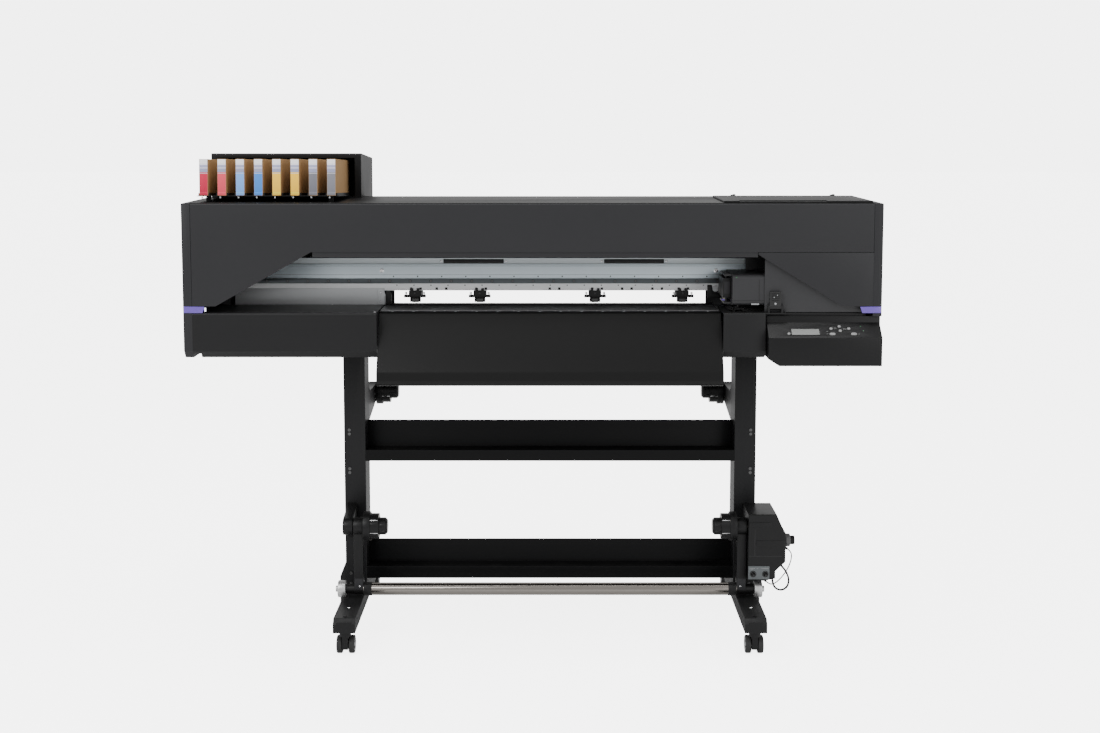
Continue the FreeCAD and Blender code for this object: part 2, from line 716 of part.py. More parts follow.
def carriage_drive():
    """Linear rail, toothed belt, two pulleys, motor and idler block."""
    x0 = PLATE_LEFT + RAIL_END_GAP
    x1 = PLATE_RIGHT - RAIL_END_GAP
    rail = block(x0, x1, BEAM_FRONT - RAIL_DEPTH, BEAM_FRONT, RAIL_Z0, RAIL_Z0 + RAIL_HEIGHT)
    left = PLATE_LEFT + PULLEY_INSET
    right = PLATE_RIGHT - PULLEY_INSET
    solids = [rail]
    outer = PULLEY_R + BELT_T
    ring = join(block(left, right, BELT_CENTRE_Y - outer, BELT_CENTRE_Y + outer, BELT_Z0,
                      BELT_Z0 + BELT_HEIGHT),
                rod_z(left, BELT_CENTRE_Y, BELT_Z0, BELT_Z0 + BELT_HEIGHT, outer),
                rod_z(right, BELT_CENTRE_Y, BELT_Z0, BELT_Z0 + BELT_HEIGHT, outer))
    space = join(block(left, right, BELT_CENTRE_Y - PULLEY_R, BELT_CENTRE_Y + PULLEY_R, BELT_Z0,
                       BELT_Z0 + BELT_HEIGHT),
                 rod_z(left, BELT_CENTRE_Y, BELT_Z0, BELT_Z0 + BELT_HEIGHT, PULLEY_R),
                 rod_z(right, BELT_CENTRE_Y, BELT_Z0, BELT_Z0 + BELT_HEIGHT, PULLEY_R))
    solids.append(ring.cut(space))
    for x, side, height in ((left, IDLER_SIDE, IDLER_HEIGHT), (right, MOTOR_SIDE, MOTOR_HEIGHT)):
        top = BELT_Z0 - 4.0
        mount = block(x - side / 2, x + side / 2, BEAM_REAR + SEAT, BEAM_REAR + SEAT + MOTOR_SIDE,
                      top - height, top)
        spindle = rod_z(x, BELT_CENTRE_Y, top - 1, BELT_Z0 + BELT_HEIGHT + 4, PULLEY_BORE)
        pulley = rod_z(x, BELT_CENTRE_Y, BELT_Z0, BELT_Z0 + BELT_HEIGHT, PULLEY_R - 0.1)
        solids.append(join(mount, spindle, pulley))
    return group(*solids)


# ================================================================ media path
def platen():
    """Platen on its ribs with the roller bearings, and the light plate left of it."""
    x0 = PLATEN_LEFT
    x1 = PLATEN_RIGHT
    under = PLATEN_Z - PLATEN_T
    parts = [block(x0, x1, PLATEN_FRONT, PLATEN_REAR, under, PLATEN_Z),
             block(x0, x1, PLATEN_FRONT, PLATEN_FRONT + PLATEN_T, PLATEN_Z - PLATEN_FLANGE, PLATEN_Z)]
    rib_step = PLATEN_WIDTH / 6
    for i in range(1, 6, 2):
        x = x0 + rib_step * i
        parts.append(block(x - 3, x + 3, PLATEN_FRONT, GRIT_Y - GRIT_R - 4, BASE_Z1 + SEAT,
                           PLATEN_Z - 1))
    for x in (x0 + 5, x1 - 5 - GRIT_BLOCK):
        parts.append(block(x, x + GRIT_BLOCK, GRIT_Y - 12, GRIT_Y + 12, BASE_Z1 + SEAT, PLATEN_Z - 1))
    holes = [rod_x(x0 - 5, x1 + 5, GRIT_Y, GRIT_AXIS_Z, GRIT_SHAFT_R + RUNNING)]
    for x in PINCH_X:
        half = GRIT_LENGTH / 2 + GRIT_SLOT_GAP
        reach = GRIT_R + GRIT_SLOT_GAP
        holes.append(block(x - half, x + half, GRIT_Y - reach, GRIT_Y + reach, BASE_Z1, PLATEN_Z + 1))
    main = join(*parts).cut(holes)
    plate = block(PLATE_LEFT + 60, x0 - COVER_GAP, BEAM_FRONT - BAND_PROUD - 2.2,
                  BEAM_FRONT - BAND_PROUD - SEAT,
                  WAIST_Z + SEAT, PLATEN_Z + 51)
    return group(main, plate)


def grit_roller():
    """Driven shaft with four gritted sleeves."""
    sleeves = [rod_x(x - GRIT_LENGTH / 2, x + GRIT_LENGTH / 2, GRIT_Y, GRIT_AXIS_Z,
                     GRIT_R) for x in PINCH_X]
    shaft = rod_x(PLATEN_LEFT - 10, PLATEN_RIGHT + 4, GRIT_Y, GRIT_AXIS_Z, GRIT_SHAFT_R)
    return join(shaft, *sleeves)


def pinch_axis():
    """The raised wheel axis in (y, z), worked out from where the wheels touch the grit roller."""
    angle = math.radians(PINCH_LIFT_DEG)
    dy = GRIT_Y - PINCH_PIVOT_Y
    dz = PLATEN_Z + NIP + PINCH_WHEEL_R - PINCH_PIVOT_Z
    return (PINCH_PIVOT_Y + dy * math.cos(angle) + dz * math.sin(angle),
            PINCH_PIVOT_Z - dy * math.sin(angle) + dz * math.cos(angle))


def pinch_arm(x):
    """One pinch arm: hub, bridge under the beam, two cheeks, wings and front posts."""
    wheel_y, wheel_z = pinch_axis()
    bridge_z1 = BEAM_Z0 - 1.8
    bridge_z0 = wheel_z + PINCH_WHEEL_R + 0.8
    half = PINCH_WHEEL_WIDTH / 2
    front = BEAM_FRONT - BAND_PROUD - 5.6
    hub = rod_x(x - 14, x + 14, PINCH_PIVOT_Y, PINCH_PIVOT_Z, PINCH_HUB_R)
    drop = block(x - 14, x + 14, PINCH_PIVOT_Y - PINCH_HUB_R, PINCH_PIVOT_Y + 3, bridge_z0,
                 PINCH_PIVOT_Z)
    bridge = block(x - 18, x + 18, front, PINCH_PIVOT_Y + 3, bridge_z0, bridge_z1)
    parts = [hub, drop, bridge]
    for side in (-1, 1):
        near = x + side * (half + SLIDE_GAP)
        far = near + side * PINCH_CHEEK
        parts.append(block(min(near, far), max(near, far), wheel_y - 9, wheel_y + 9, wheel_z - 6,
                           bridge_z0 + 2))
        post = x + side * 9
        parts.append(block(post - 4, post + 4, front, front + 4.6, bridge_z0, BEAM_Z0 + 7))
        tip = x + side * PINCH_WING
        parts.append(block(min(x, tip), max(x, tip), front, front + 12, bridge_z0, bridge_z0 + 7))
    bore = rod_x(x - 40, x + 40, PINCH_PIVOT_Y, PINCH_PIVOT_Z, PINCH_SHAFT_R + RUNNING)
    axle = rod_x(x - 40, x + 40, wheel_y, wheel_z, PINCH_AXLE_R + RUNNING)
    return join(*parts).cut([bore, axle])


def pinch_arms():
    """All pinch arms, which lift together."""
    return group(*[pinch_arm(x) for x in PINCH_X])


def pinch_wheels():
    """The pinch wheels on their stub axles."""
    wheel_y, wheel_z = pinch_axis()
    half = PINCH_WHEEL_WIDTH / 2
    wheels = []
    for x in PINCH_X:
        wheel = rod_x(x - half, x + half, wheel_y, wheel_z, PINCH_WHEEL_R)
        reach = half + PINCH_CHEEK + 1
        wheels.append(join(wheel, rod_x(x - reach, x + reach, wheel_y, wheel_z, PINCH_AXLE_R)))
    return group(*wheels)


def media_guides():
    """Front apron with its curled lower edge, and the rear guide."""
    apron = sheet_x(APRON_PATH, APRON_T, APRON_BEND, APRON_LEFT, APRON_RIGHT)
    tab = [(-269.5, 940.0), (-293.7, 900.0), (BASE_FRONT - SEAT, 900.0), (BASE_FRONT - SEAT, 940.0)]
    tabs = [prism_x(tab, x - 4, x + 4) for x in (APRON_LEFT + 90, MEDIA_CENTRE, APRON_RIGHT - 90)]
    apron = join(apron, *tabs)
    rear = sheet_x(GUIDE_PATH, -GUIDE_T, GUIDE_BEND, PLATEN_LEFT, PLATEN_RIGHT)
    rib = [(15.0, BASE_Z1 + SEAT), (50.0, BASE_Z1 + SEAT), (50.0, 956.0), (15.0, 966.5)]
    ribs = [prism_x(rib, x - 4, x + 4) for x in (PLATEN_LEFT + 60, MEDIA_CENTRE, PLATEN_RIGHT - 60)]
    return group(apron, join(rear, *ribs))


# ================================================================ carriage


def carriage():
    """Carriage cover, print head, slider on the rail and the belt grip."""
    x0, x1 = CARRIAGE_X0, CARRIAGE_X1
    middle = (x0 + x1) / 2
    shell = block(x0, x1, CARRIAGE_FRONT, CARRIAGE_BACK, CARRIAGE_Z0, CARRIAGE_Z1)
    shell = round_edges(shell, CARRIAGE_ROUND,
                        lambda e: runs_along(V(1, 0, 0))(e) and e.CenterOfMass.y < CARRIAGE_FRONT + 1)
    head = block(middle - HEAD_WIDTH / 2, middle + HEAD_WIDTH / 2, HEAD_FRONT, HEAD_BACK, HEAD_Z0,
                 CARRIAGE_Z0 + 5)
    grip_x0 = middle - GRIP_WIDTH / 2
    grip_x1 = middle + GRIP_WIDTH / 2
    grip_z = STRIP_TOP + COVER_GAP
    tab_y = BELT_CENTRE_Y - PULLEY_R + SLIDE_GAP
    post = block(grip_x0, grip_x1, CARRIAGE_BACK - 8, CARRIAGE_BACK, CARRIAGE_Z1 - 5, grip_z + GRIP_T)
    over = block(grip_x0, grip_x1, CARRIAGE_BACK - 8, tab_y + GRIP_TAB, grip_z, grip_z + GRIP_T)
    tab = block(grip_x0, grip_x1, tab_y, tab_y + GRIP_TAB, BELT_Z0 - 2, grip_z + 1)
    rod = [rod_z(x0 - CUTTER_WIDTH / 2, y, CARRIAGE_Z0 + 4, CARRIAGE_Z1 - 4, CUTTER_PIN_R)
           for y in (CUTTER_FRONT + 25, CUTTER_BACK - 20)]
    arms = [block(x0 - CUTTER_WIDTH / 2 - 7, x0 + 5, CUTTER_FRONT + 5, CUTTER_BACK, z, z + 5)
            for z in (CARRIAGE_Z0, CARRIAGE_Z1 - 6)]
    nose = rod_z(x0 - CUTTER_WIDTH / 2, CUTTER_FRONT + 52, CARRIAGE_Z0 - 1, CARRIAGE_Z1, BLADE_R + 1)
    return join(shell, head, post, over, tab, *rod, *arms).cut(nose)


def carriage_sliders():
    """Sliders on the carriage's back, above and below the rail."""
    x0 = CARRIAGE_X0 + SLIDER_INSET
    x1 = CARRIAGE_X1 - SLIDER_INSET
    upper_z = RAIL_Z0 + RAIL_HEIGHT + SLIDE_GAP
    lower_z = RAIL_Z0 - SLIDE_GAP
    upper = block(x0, x1, CARRIAGE_BACK + SEAT, BEAM_FRONT - 1, upper_z, upper_z + SLIDER_HEIGHT)
    lower = block(x0, x1, CARRIAGE_BACK + SEAT, BEAM_FRONT - BAND_PROUD - SLIDE_GAP,
                  lower_z - SLIDER_HEIGHT,
                  lower_z)
    return group(upper, lower)


def cutter_head():
    """Cutter block on its two guide pins, with the blade holder."""
    x1 = CARRIAGE_X0 - COVER_GAP
    x0 = CARRIAGE_X0 - CUTTER_WIDTH
    x = CARRIAGE_X0 - CUTTER_WIDTH / 2
    body = block(x0, x1, CUTTER_FRONT, CUTTER_BACK, CUTTER_Z0, CUTTER_Z1)
    y = CUTTER_FRONT + 52
    holder = rod_z(x, y, BLADE_TIP_Z + BLADE_TIP_LENGTH, CUTTER_Z0 + 2, BLADE_R)
    tip = Part.makeCone(1.0, BLADE_R, BLADE_TIP_LENGTH, V(x, y, BLADE_TIP_Z), V(0, 0, 1))
    pins = [rod_z(x, py, CUTTER_Z0 - 1, CUTTER_Z1 + 1, CUTTER_PIN_R + RUNNING)
            for py in (CUTTER_FRONT + 25, CUTTER_BACK - 20)]
    return join(body, holder, tip).cut(pins)


def capping_station():
    """Maintenance unit under the parked carriage: housing, two cap pads and a wiper."""
    x0 = RIGHT - CAPPING_LEFT
    x1 = RIGHT - CAPPING_RIGHT
    parts = [block(x0, x1, CAPPING_FRONT, BASE_FRONT - 2 * SEAT, BELLY_Z + COVER_T + SEAT, CAPPING_Z1),
             block(x0, x1, BASE_FRONT - 1, CAPPING_BACK, BASE_Z1 + SEAT, CAPPING_Z1)]
    for x in (x0 + 45, x1 - 45 - CAP_PAD):
        parts.append(block(x, x + CAP_PAD, CAPPING_FRONT + 60, CAPPING_BACK - 10, CAPPING_Z1 - 1,
                           CAP_PAD_Z))
    parts.append(block(x0 + 12, x0 + 15, CAPPING_FRONT + 60, CAPPING_BACK - 10, CAPPING_Z1 - 1,
                       CAP_PAD_Z))
    return join(*parts)


# ================================================================ covers
def front_cover():
    """Long hinged front cover with the left wing and the dark lip over the window."""
    x0 = CAP_IN_LEFT + COVER_GAP
    x1 = CAP_IN_RIGHT - COVER_GAP
    top = TOP - 1.5
    outline = [(x0, WING_Z), (x0, top), (x1, top), (x1, SEAM_Z), (LEFT + CAP_WIDTH + WING_OUTER, SEAM_Z),
               (LEFT + CAP_WIDTH + WING_INNER, WING_Z)]
    face = prism_y(outline, FRONT, FRONT + COVER_FACE_T)
    lip_x0 = LEFT + CAP_WIDTH + WING_OUTER + 4
    lip_x1 = RIGHT - RIGHT_WINDOW - COVER_GAP
    lip = block(lip_x0, lip_x1, FRONT + LIP_BACKSET, FRONT + LIP_BACKSET + COVER_T,
                SEAM_Z - LIP_DEPTH, SEAM_Z + 6)
    shelf = block(lip_x0, lip_x1, FRONT + 1, FRONT + COVER_RETURN, SEAM_Z, SEAM_Z + 3)
    header = block(x0, x1, FRONT + 1, FRONT + 9, top - 9, top - 1.5)
    pins = [rod_x(x, x + 12, FRONT + COVER_HINGE_INSET, TOP - COVER_HINGE_DROP,
                  COVER_PIN_R) for x in (x0 - 4, x1 - 8)]
    soft = round_edges(face, 2.5,
                       lambda e: e.CenterOfMass.y < FRONT + 0.01 and e.CenterOfMass.z > top - 1)
    return join(soft, lip, shelf, header, *pins)


def hood_top():
    """Fixed top with the opening under the lid and the lid's hinge ears."""
    top = sheet_x(hood_path(), -COVER_T, 6.0, CAP_IN_LEFT + SEAT, CAP_IN_RIGHT - SEAT)
    x0 = RIGHT - LID_LEFT + LID_MARGIN
    x1 = RIGHT - LID_RIGHT - LID_MARGIN - 24
    y0 = FRONT + LID_FRONT_INSET + LID_MARGIN
    opening = block(x0, x1, y0, y0 + LID_DEPTH - 3 * LID_MARGIN, TOP - 20, TOP + 20)
    ears = []
    for x in (RIGHT - LID_LEFT + LID_EAR_INSET, RIGHT - LID_RIGHT - LID_EAR_INSET):
        foot = block(x, x + 8, LID_HINGE_Y - LID_EAR_R, LID_HINGE_Y + LID_EAR_R, TOP - 1, LID_HINGE_Z)
        ear = join(foot, rod_x(x, x + 8, LID_HINGE_Y, LID_HINGE_Z, LID_EAR_R))
        ears.append(ear.cut(rod_x(x - 1, x + 9, LID_HINGE_Y, LID_HINGE_Z, LID_PIN_R + RUNNING)))
    return join(top.cut(opening), *ears)


def top_lid():
    """Raised maintenance lid with a finger recess, hinged at its rear edge."""
    x0 = RIGHT - LID_LEFT
    x1 = RIGHT - LID_RIGHT
    y0 = FRONT + LID_FRONT_INSET
    y1 = y0 + LID_DEPTH
    plate = block(x0, x1, y0, y1, TOP + SEAT, TOP + LID_T)
    plate = round_edges(plate, 2.0, lambda e: e.CenterOfMass.z > TOP + LID_T - 0.01)
    grip = block(RIGHT - LID_GRIP_LEFT, RIGHT - LID_GRIP_RIGHT, y0 - 1, y0 + LID_GRIP_DEPTH,
                 TOP + LID_T - LID_GRIP_SINK, TOP + LID_T + 1)
    parts = []
    for x in (x0 + LID_EAR_INSET, x1 - LID_EAR_INSET):
        tongue = block(x - 6, x - 0.5, y1 - 3, LID_HINGE_Y + 3.0, TOP + 2.0, LID_HINGE_Z + 3.2)
        parts += [tongue, rod_x(x - 4, x + 9, LID_HINGE_Y, LID_HINGE_Z, LID_PIN_R)]
    return join(plate.cut(grip), *parts)


def back_cover():
    """Rear panel, open where the media enters, with the power inlet."""
    x0 = CAP_IN_LEFT + SEAT
    x1 = CAP_IN_RIGHT - SEAT
    top = TOP - DECK_DROP - 4
    bottom = BELLY_Z + 12
    gap_z = 985.0
    outline = [(x0, bottom), (x0, top), (x1, top), (x1, bottom), (PLATEN_RIGHT + 14, bottom),
               (PLATEN_RIGHT + 14, gap_z), (PLATEN_LEFT - 14, gap_z), (PLATEN_LEFT - 14, bottom)]
    plate = prism_y(outline, REAR - COVER_T, REAR)
    hole = block(INLET_X, INLET_X + INLET_WIDTH, REAR - 40, REAR + 10, INLET_Z, INLET_Z + INLET_HEIGHT)
    inlet = block(INLET_X + SEAT, INLET_X + INLET_WIDTH - SEAT, REAR - INLET_DEPTH, REAR - 0.5,
                  INLET_Z + SEAT,
                  INLET_Z + INLET_HEIGHT - SEAT)
    socket = block(INLET_X + 8, INLET_X + INLET_WIDTH - 8, REAR - INLET_DEPTH + 3, REAR + 1, INLET_Z + 6,
                   INLET_Z + INLET_HEIGHT - 6)
    pins = [block(INLET_X + 14 + i * 9, INLET_X + 16 + i * 9, REAR - INLET_DEPTH + 2, REAR - 4,
                  INLET_Z + 11,
                  INLET_Z + 17) for i in range(3)]
    screws = [rod_y(x, REAR - 10, REAR + 10, z, SCREW_R + SCREW_GAP) for x, z in back_screw_places()]
    return group(plate.cut([hole] + screws), join(inlet.cut(socket), *pins))


def back_screw_places():
    """Where screws hold the back cover, in (x, z)."""
    count = int((CAP_IN_RIGHT - CAP_IN_LEFT - 40) // BACK_SCREW_STEP)
    start = (CAP_IN_LEFT + CAP_IN_RIGHT - count * BACK_SCREW_STEP) / 2
    return [(start + i * BACK_SCREW_STEP, TOP - DECK_DROP - 20) for i in range(count + 1)]


def end_cap(side):
    """Moulded end cap with a groove for the accent stripe; side is -1 for left, 1 for right."""
    outline = [(FRONT, LOWER_Z), (FRONT, TOP), (DECK_REAR, TOP), (REAR, TOP - DECK_DROP),
               (REAR, BELLY_Z + 13),
               (REAR - 13, BELLY_Z), (FRONT + BELLY_CHAMFER, BELLY_Z)]
    outer = LEFT if side < 0 else CAP_IN_RIGHT
    cap = prism_x(outline, outer, outer + CAP_WIDTH)
    face = LEFT if side < 0 else RIGHT
    cap = round_edges(cap, 5.0, lambda e: abs(e.CenterOfMass.x - face) < 0.01)
    inset = 8.0
    hollow = [(FRONT + inset, LOWER_Z), (FRONT + inset, TOP - inset), (DECK_REAR, TOP - inset),
              (REAR - inset, TOP - DECK_DROP - inset), (REAR - inset, BELLY_Z + 20), (FRONT + 26,
                                                                                      BELLY_Z + 20)]
    wall = 7.0
    space = prism_x(hollow, outer + (wall if side < 0 else -1),
                    outer + CAP_WIDTH + (1 if side < 0 else -wall))
    depth = 4.0
    if side < 0:
        side_groove = block(face - 1, face + depth, FRONT - 1, REAR - 40, WAIST_Z, WING_Z)
    else:
        side_groove = block(face - depth, face + 1, FRONT - 1, REAR - 40, WAIST_Z, WING_Z)
    front_groove = block(outer - 1, outer + CAP_WIDTH + 1, FRONT - 1, FRONT + depth, WAIST_Z, WING_Z)
    inner = outer + CAP_WIDTH if side < 0 else outer
    socket = rod_x(inner - 5, inner + 5, FRONT + COVER_HINGE_INSET, TOP - COVER_HINGE_DROP,
                   COVER_PIN_R + RUNNING)
    tools = [space, side_groove, front_groove, socket]
    if side > 0:
        tools.append(block(outer - 1, face + 1, FRONT - 1, PANEL_BACK + COVER_GAP, BELLY_Z - 5,
                           PANEL_TOP_Z + COVER_GAP))
    return cap.cut(tools)


def end_caps():
    """Left and right end caps."""
    return group(end_cap(-1), end_cap(1))


def accent_stripe():
    """Left accent stripe: wraps the front corner and tapers inward."""
    proud = 1.0
    tail = 61.0
    tip = 6.0
    front = FRONT + proud
    outline = [(LEFT + proud, WAIST_Z + SEAT), (LEFT + proud, WING_Z - SEAT),
               (LEFT + tail, WING_Z - COVER_GAP - SEAT),
               (LEFT + tail - tip, WAIST_Z + SEAT)]
    bar = prism_y(outline, front, front + 3.0 - SEAT)
    side = block(LEFT + proud, LEFT + 4.0 - SEAT, front, front + 200, WAIST_Z + SEAT, WING_Z - SEAT)
    return join(bar, side)


def accent_stripes():
    """Both stripes."""
    left = accent_stripe()
    return group(left, mirrored(left, 0.0))


def lower_cover_sheet(x0, x1, front):
    """Folded lower cover: waist top, front face, chamfer and belly."""
    path = [(BEAM_FRONT - 6, WAIST_Z), (front, WAIST_Z), (front, LOWER_Z),
            (front + BELLY_CHAMFER, BELLY_Z),
            (BELLY_REAR, BELLY_Z)]
    return sheet_x(path, COVER_T, 2.0, x0, x1)


def leg_notch(x0, x1):
    """The cut-out in the belly for a leg."""
    return block(x0 - 3, x1 + 3, LEG_FRONT - 3, LEG_REAR + 3, BELLY_Z - 10, BASE_Z0 + 5)


def lower_left_cover():
    """Lower left cover, closed at its right end."""
    x0 = CAP_IN_LEFT + SEAT
    x1 = APRON_LEFT - COVER_GAP
    cover = lower_cover_sheet(x0, x1, FRONT)
    wall_outline = [(PLATEN_FRONT, WAIST_Z - 2), (FRONT + 2, WAIST_Z - 2), (FRONT + 2, LOWER_Z),
                    (FRONT + 16, BELLY_Z + 2),
                    (PLATEN_FRONT, BELLY_Z + 2)]
    wall = prism_x(wall_outline, x1 - COVER_T, x1)
    plate_slot = block(x0 - 1, PLATE_LEFT + COVER_GAP, FRONT + 6, BELLY_REAR + 5, BELLY_Z - 5,
                       WAIST_Z + 5)
    return join(cover, wall).cut([plate_slot, leg_notch(LEG_LEFT, LEG_INNER)])


def right_cover():
    """Right cover below the seam, with the slanted window edge."""
    x0 = RIGHT - RIGHT_WINDOW
    x1 = CAP_IN_RIGHT - SEAT
    top = SEAM_Z - COVER_GAP
    outline = [(x0, top - 6), (x0, top), (x1, top), (x1, WING_Z), (RIGHT - SLANT_FOOT, WING_Z)]
    face = prism_y(outline, FRONT, FRONT + COVER_FACE_T)
    post = block(x1 - 14, x1, FRONT + 1, FRONT + 11.8, WING_Z, top)
    inner = block(x0 + 30, x1, FRONT + 1, FRONT + 11.8, top - 3, top)
    return join(face, post, inner)


def inner_cover():
    """Sheet behind the right window that hides the parked carriage, bent back along the side plate."""
    x0 = RIGHT - INNER_LEFT
    x1 = PLATE_RIGHT - SEAT
    face = block(x0, x1, INNER_FRONT, INNER_FRONT + INNER_T, WAIST_Z + SEAT, INNER_TOP)
    flange = block(x1 - INNER_T, x1, INNER_FRONT, INNER_FRONT + INNER_FLANGE, WAIST_Z + SEAT, INNER_TOP)
    return join(face, flange)


def lower_right_cover():
    """Lower right cover with the opening for the capping station and the lever's ears."""
    x0 = APRON_RIGHT + COVER_GAP
    x1 = CAP_IN_RIGHT - SEAT
    step = RIGHT - STEP_X
    narrow = lower_cover_sheet(x0, step, FRONT)
    wide = lower_cover_sheet(step - COVER_T, x1, FRONT + STEP_BACK)
    plate_slot = block(PLATE_RIGHT - COVER_GAP, x1 + 1, FRONT - 1, BELLY_REAR + 5, BELLY_Z - 5,
                       WAIST_Z + 5)
    opening = block(RIGHT - CAPPING_LEFT - 8, RIGHT - CAPPING_RIGHT + 8, CAPPING_FRONT - 5,
                    CAPPING_BACK + 6,
                    WAIST_Z - 10, WAIST_Z + 10)
    middle = RIGHT - LEVER_X
    ears = []
    for side in (-1, 1):
        near = middle + side * (LEVER_WIDTH / 2 + SLIDE_GAP)
        far = near + side * LEVER_EAR_T
        ear = prism_x([(LEVER_Y - 6, WAIST_Z - 1), (LEVER_Y - 6, LEVER_Z + 6),
                       (LEVER_Y + 6, LEVER_Z + 6),
                       (LEVER_Y + 9, WAIST_Z - 1)], min(near, far), max(near, far))
        ears.append(ear)
    shelf = block(middle - 30, middle + 30, FRONT + 3, FRONT + 30, WAIST_Z - 3, WAIST_Z)
    pin = rod_x(middle - 40, middle + 40, LEVER_Y, LEVER_Z, LEVER_PIN_R + RUNNING)
    return join(narrow, wide, shelf, *ears).cut([plate_slot, opening, pin, leg_notch(LEG_RIGHT_IN,
                                                                                     LEG_RIGHT_OUT)])


def clamp_lever():
    """Lever that lowers the pinch arms, turning on its stub pins."""
    middle = RIGHT - LEVER_X
    half = LEVER_WIDTH / 2
    outline = [(LEVER_Y - LEVER_T / 2, LEVER_Z), (LEVER_Y - LEVER_T / 2 - 3, LEVER_TOP),
               (LEVER_Y + 1, LEVER_TOP),
               (LEVER_Y + LEVER_T / 2, LEVER_Z)]
    arm = prism_x(outline, middle - half, middle + half)
    arm = round_edges(arm, 2.0, lambda e: e.CenterOfMass.z > LEVER_TOP - 1)
    hub = rod_x(middle - half, middle + half, LEVER_Y, LEVER_Z, LEVER_HUB_R)
    pin = rod_x(middle - half - LEVER_EAR_T, middle + half + LEVER_EAR_T, LEVER_Y, LEVER_Z, LEVER_PIN_R)
    return join(arm, hub, pin)


# ================================================================ operation panel


def on_slope(x0, x1, share, length, above, below):
    """A box on the panel's slope, centred at a share of the slope's length."""
    box = Part.makeBox(x1 - x0, length, above + below,
                       V(x0, PANEL_FRONT + share * SLOPE_LENGTH - length / 2,
                                                         PANEL_EDGE_Z - below))
    box.rotate(V(0, PANEL_FRONT, PANEL_EDGE_Z), V(1, 0, 0), SLOPE_ANGLE)
    return box


def panel_outline(inset):
    """The panel's section in (y, z), moved inward by an inset."""
    return [(PANEL_FRONT + inset, PANEL_Z0 + inset), (PANEL_FRONT + inset, PANEL_EDGE_Z - inset * 0.4),
            (PANEL_SLOPE_REAR + inset * 0.2, PANEL_SLOPE_Z - inset), (PANEL_SLOPE_REAR + inset * 0.2,
                                                                      PANEL_TOP_Z - inset),
            (PANEL_BACK - inset * 0.4, PANEL_TOP_Z - inset), (PANEL_BACK - inset * 0.4,
                                                              PANEL_Z0 + inset)]


def panel_housing():
    """Operation panel: moulded shell with key holes, and its display."""
    x0 = PANEL_LEFT
    x1 = RIGHT - PANEL_X1
    shell = prism_x(panel_outline(0.0), x0, x1)
    hollow = prism_x(panel_outline(PANEL_WALL), x0 + PANEL_WALL, x1 - PANEL_WALL)
    corner = prism_y([(x0 - 1, PANEL_Z0 - 1), (x0 - 1, PANEL_Z0 + 20),
                      (x0 + PANEL_CORNER, PANEL_Z0 - 1)],
                     PANEL_FRONT - 1, PANEL_BACK + 1)
    share = sum(SCREEN_PLACE) / 2
    height = (SCREEN_PLACE[1] - SCREEN_PLACE[0]) * SLOPE_LENGTH
    pocket = on_slope(SCREEN_X[0] - RIGHT_AT_DESIGN + RIGHT, SCREEN_X[1] - RIGHT_AT_DESIGN + RIGHT,
                      share, height,
                      2.0, SCREEN_T)
    screen = on_slope(SCREEN_X[0] + 0.3 - RIGHT_AT_DESIGN + RIGHT,
                      SCREEN_X[1] - 0.3 - RIGHT_AT_DESIGN + RIGHT, share,
                      height - 0.6, 0.0, SCREEN_T)
    holes = []
    for x, place, width, length in KEYS.values():
        half = width / 2 + KEY_GAP
        holes.append(on_slope(x0 + x - half, x0 + x + half, place, length + 2 * KEY_GAP, 2.0,
                              PANEL_WALL + 6))
    return group(shell.cut([hollow, corner, pocket] + holes), screen)


def panel_key(name):
    """One key in its hole."""
    x, place, width, length = KEYS[name]
    key = on_slope(PANEL_LEFT + x - width / 2, PANEL_LEFT + x + width / 2, place, length, KEY_PROUD,
                   KEY_DEPTH)
    return key.makeFillet(0.6, key.Edges)


# ================================================================ ink unit


def tilted(shape):
    """A piece of the ink unit tipped down to the rear."""
    return turned_x(shape, PACK_FRONT, PACK_FRONT_Z, -PACK_TILT)


def pack_x(index):
    """Left side of a carton."""
    return LEFT + PACK_FIRST + index * PACK_PITCH


def ink_pack(index):
    """One ink carton."""
    x = pack_x(index)
    box = block(x, x + PACK_WIDTH, PACK_FRONT, PACK_FRONT + PACK_LENGTH, PACK_FRONT_Z,
                PACK_FRONT_Z + PACK_HEIGHT)
    return tilted(round_edges(box, 0.8, runs_along(V(0, 1, 0))))


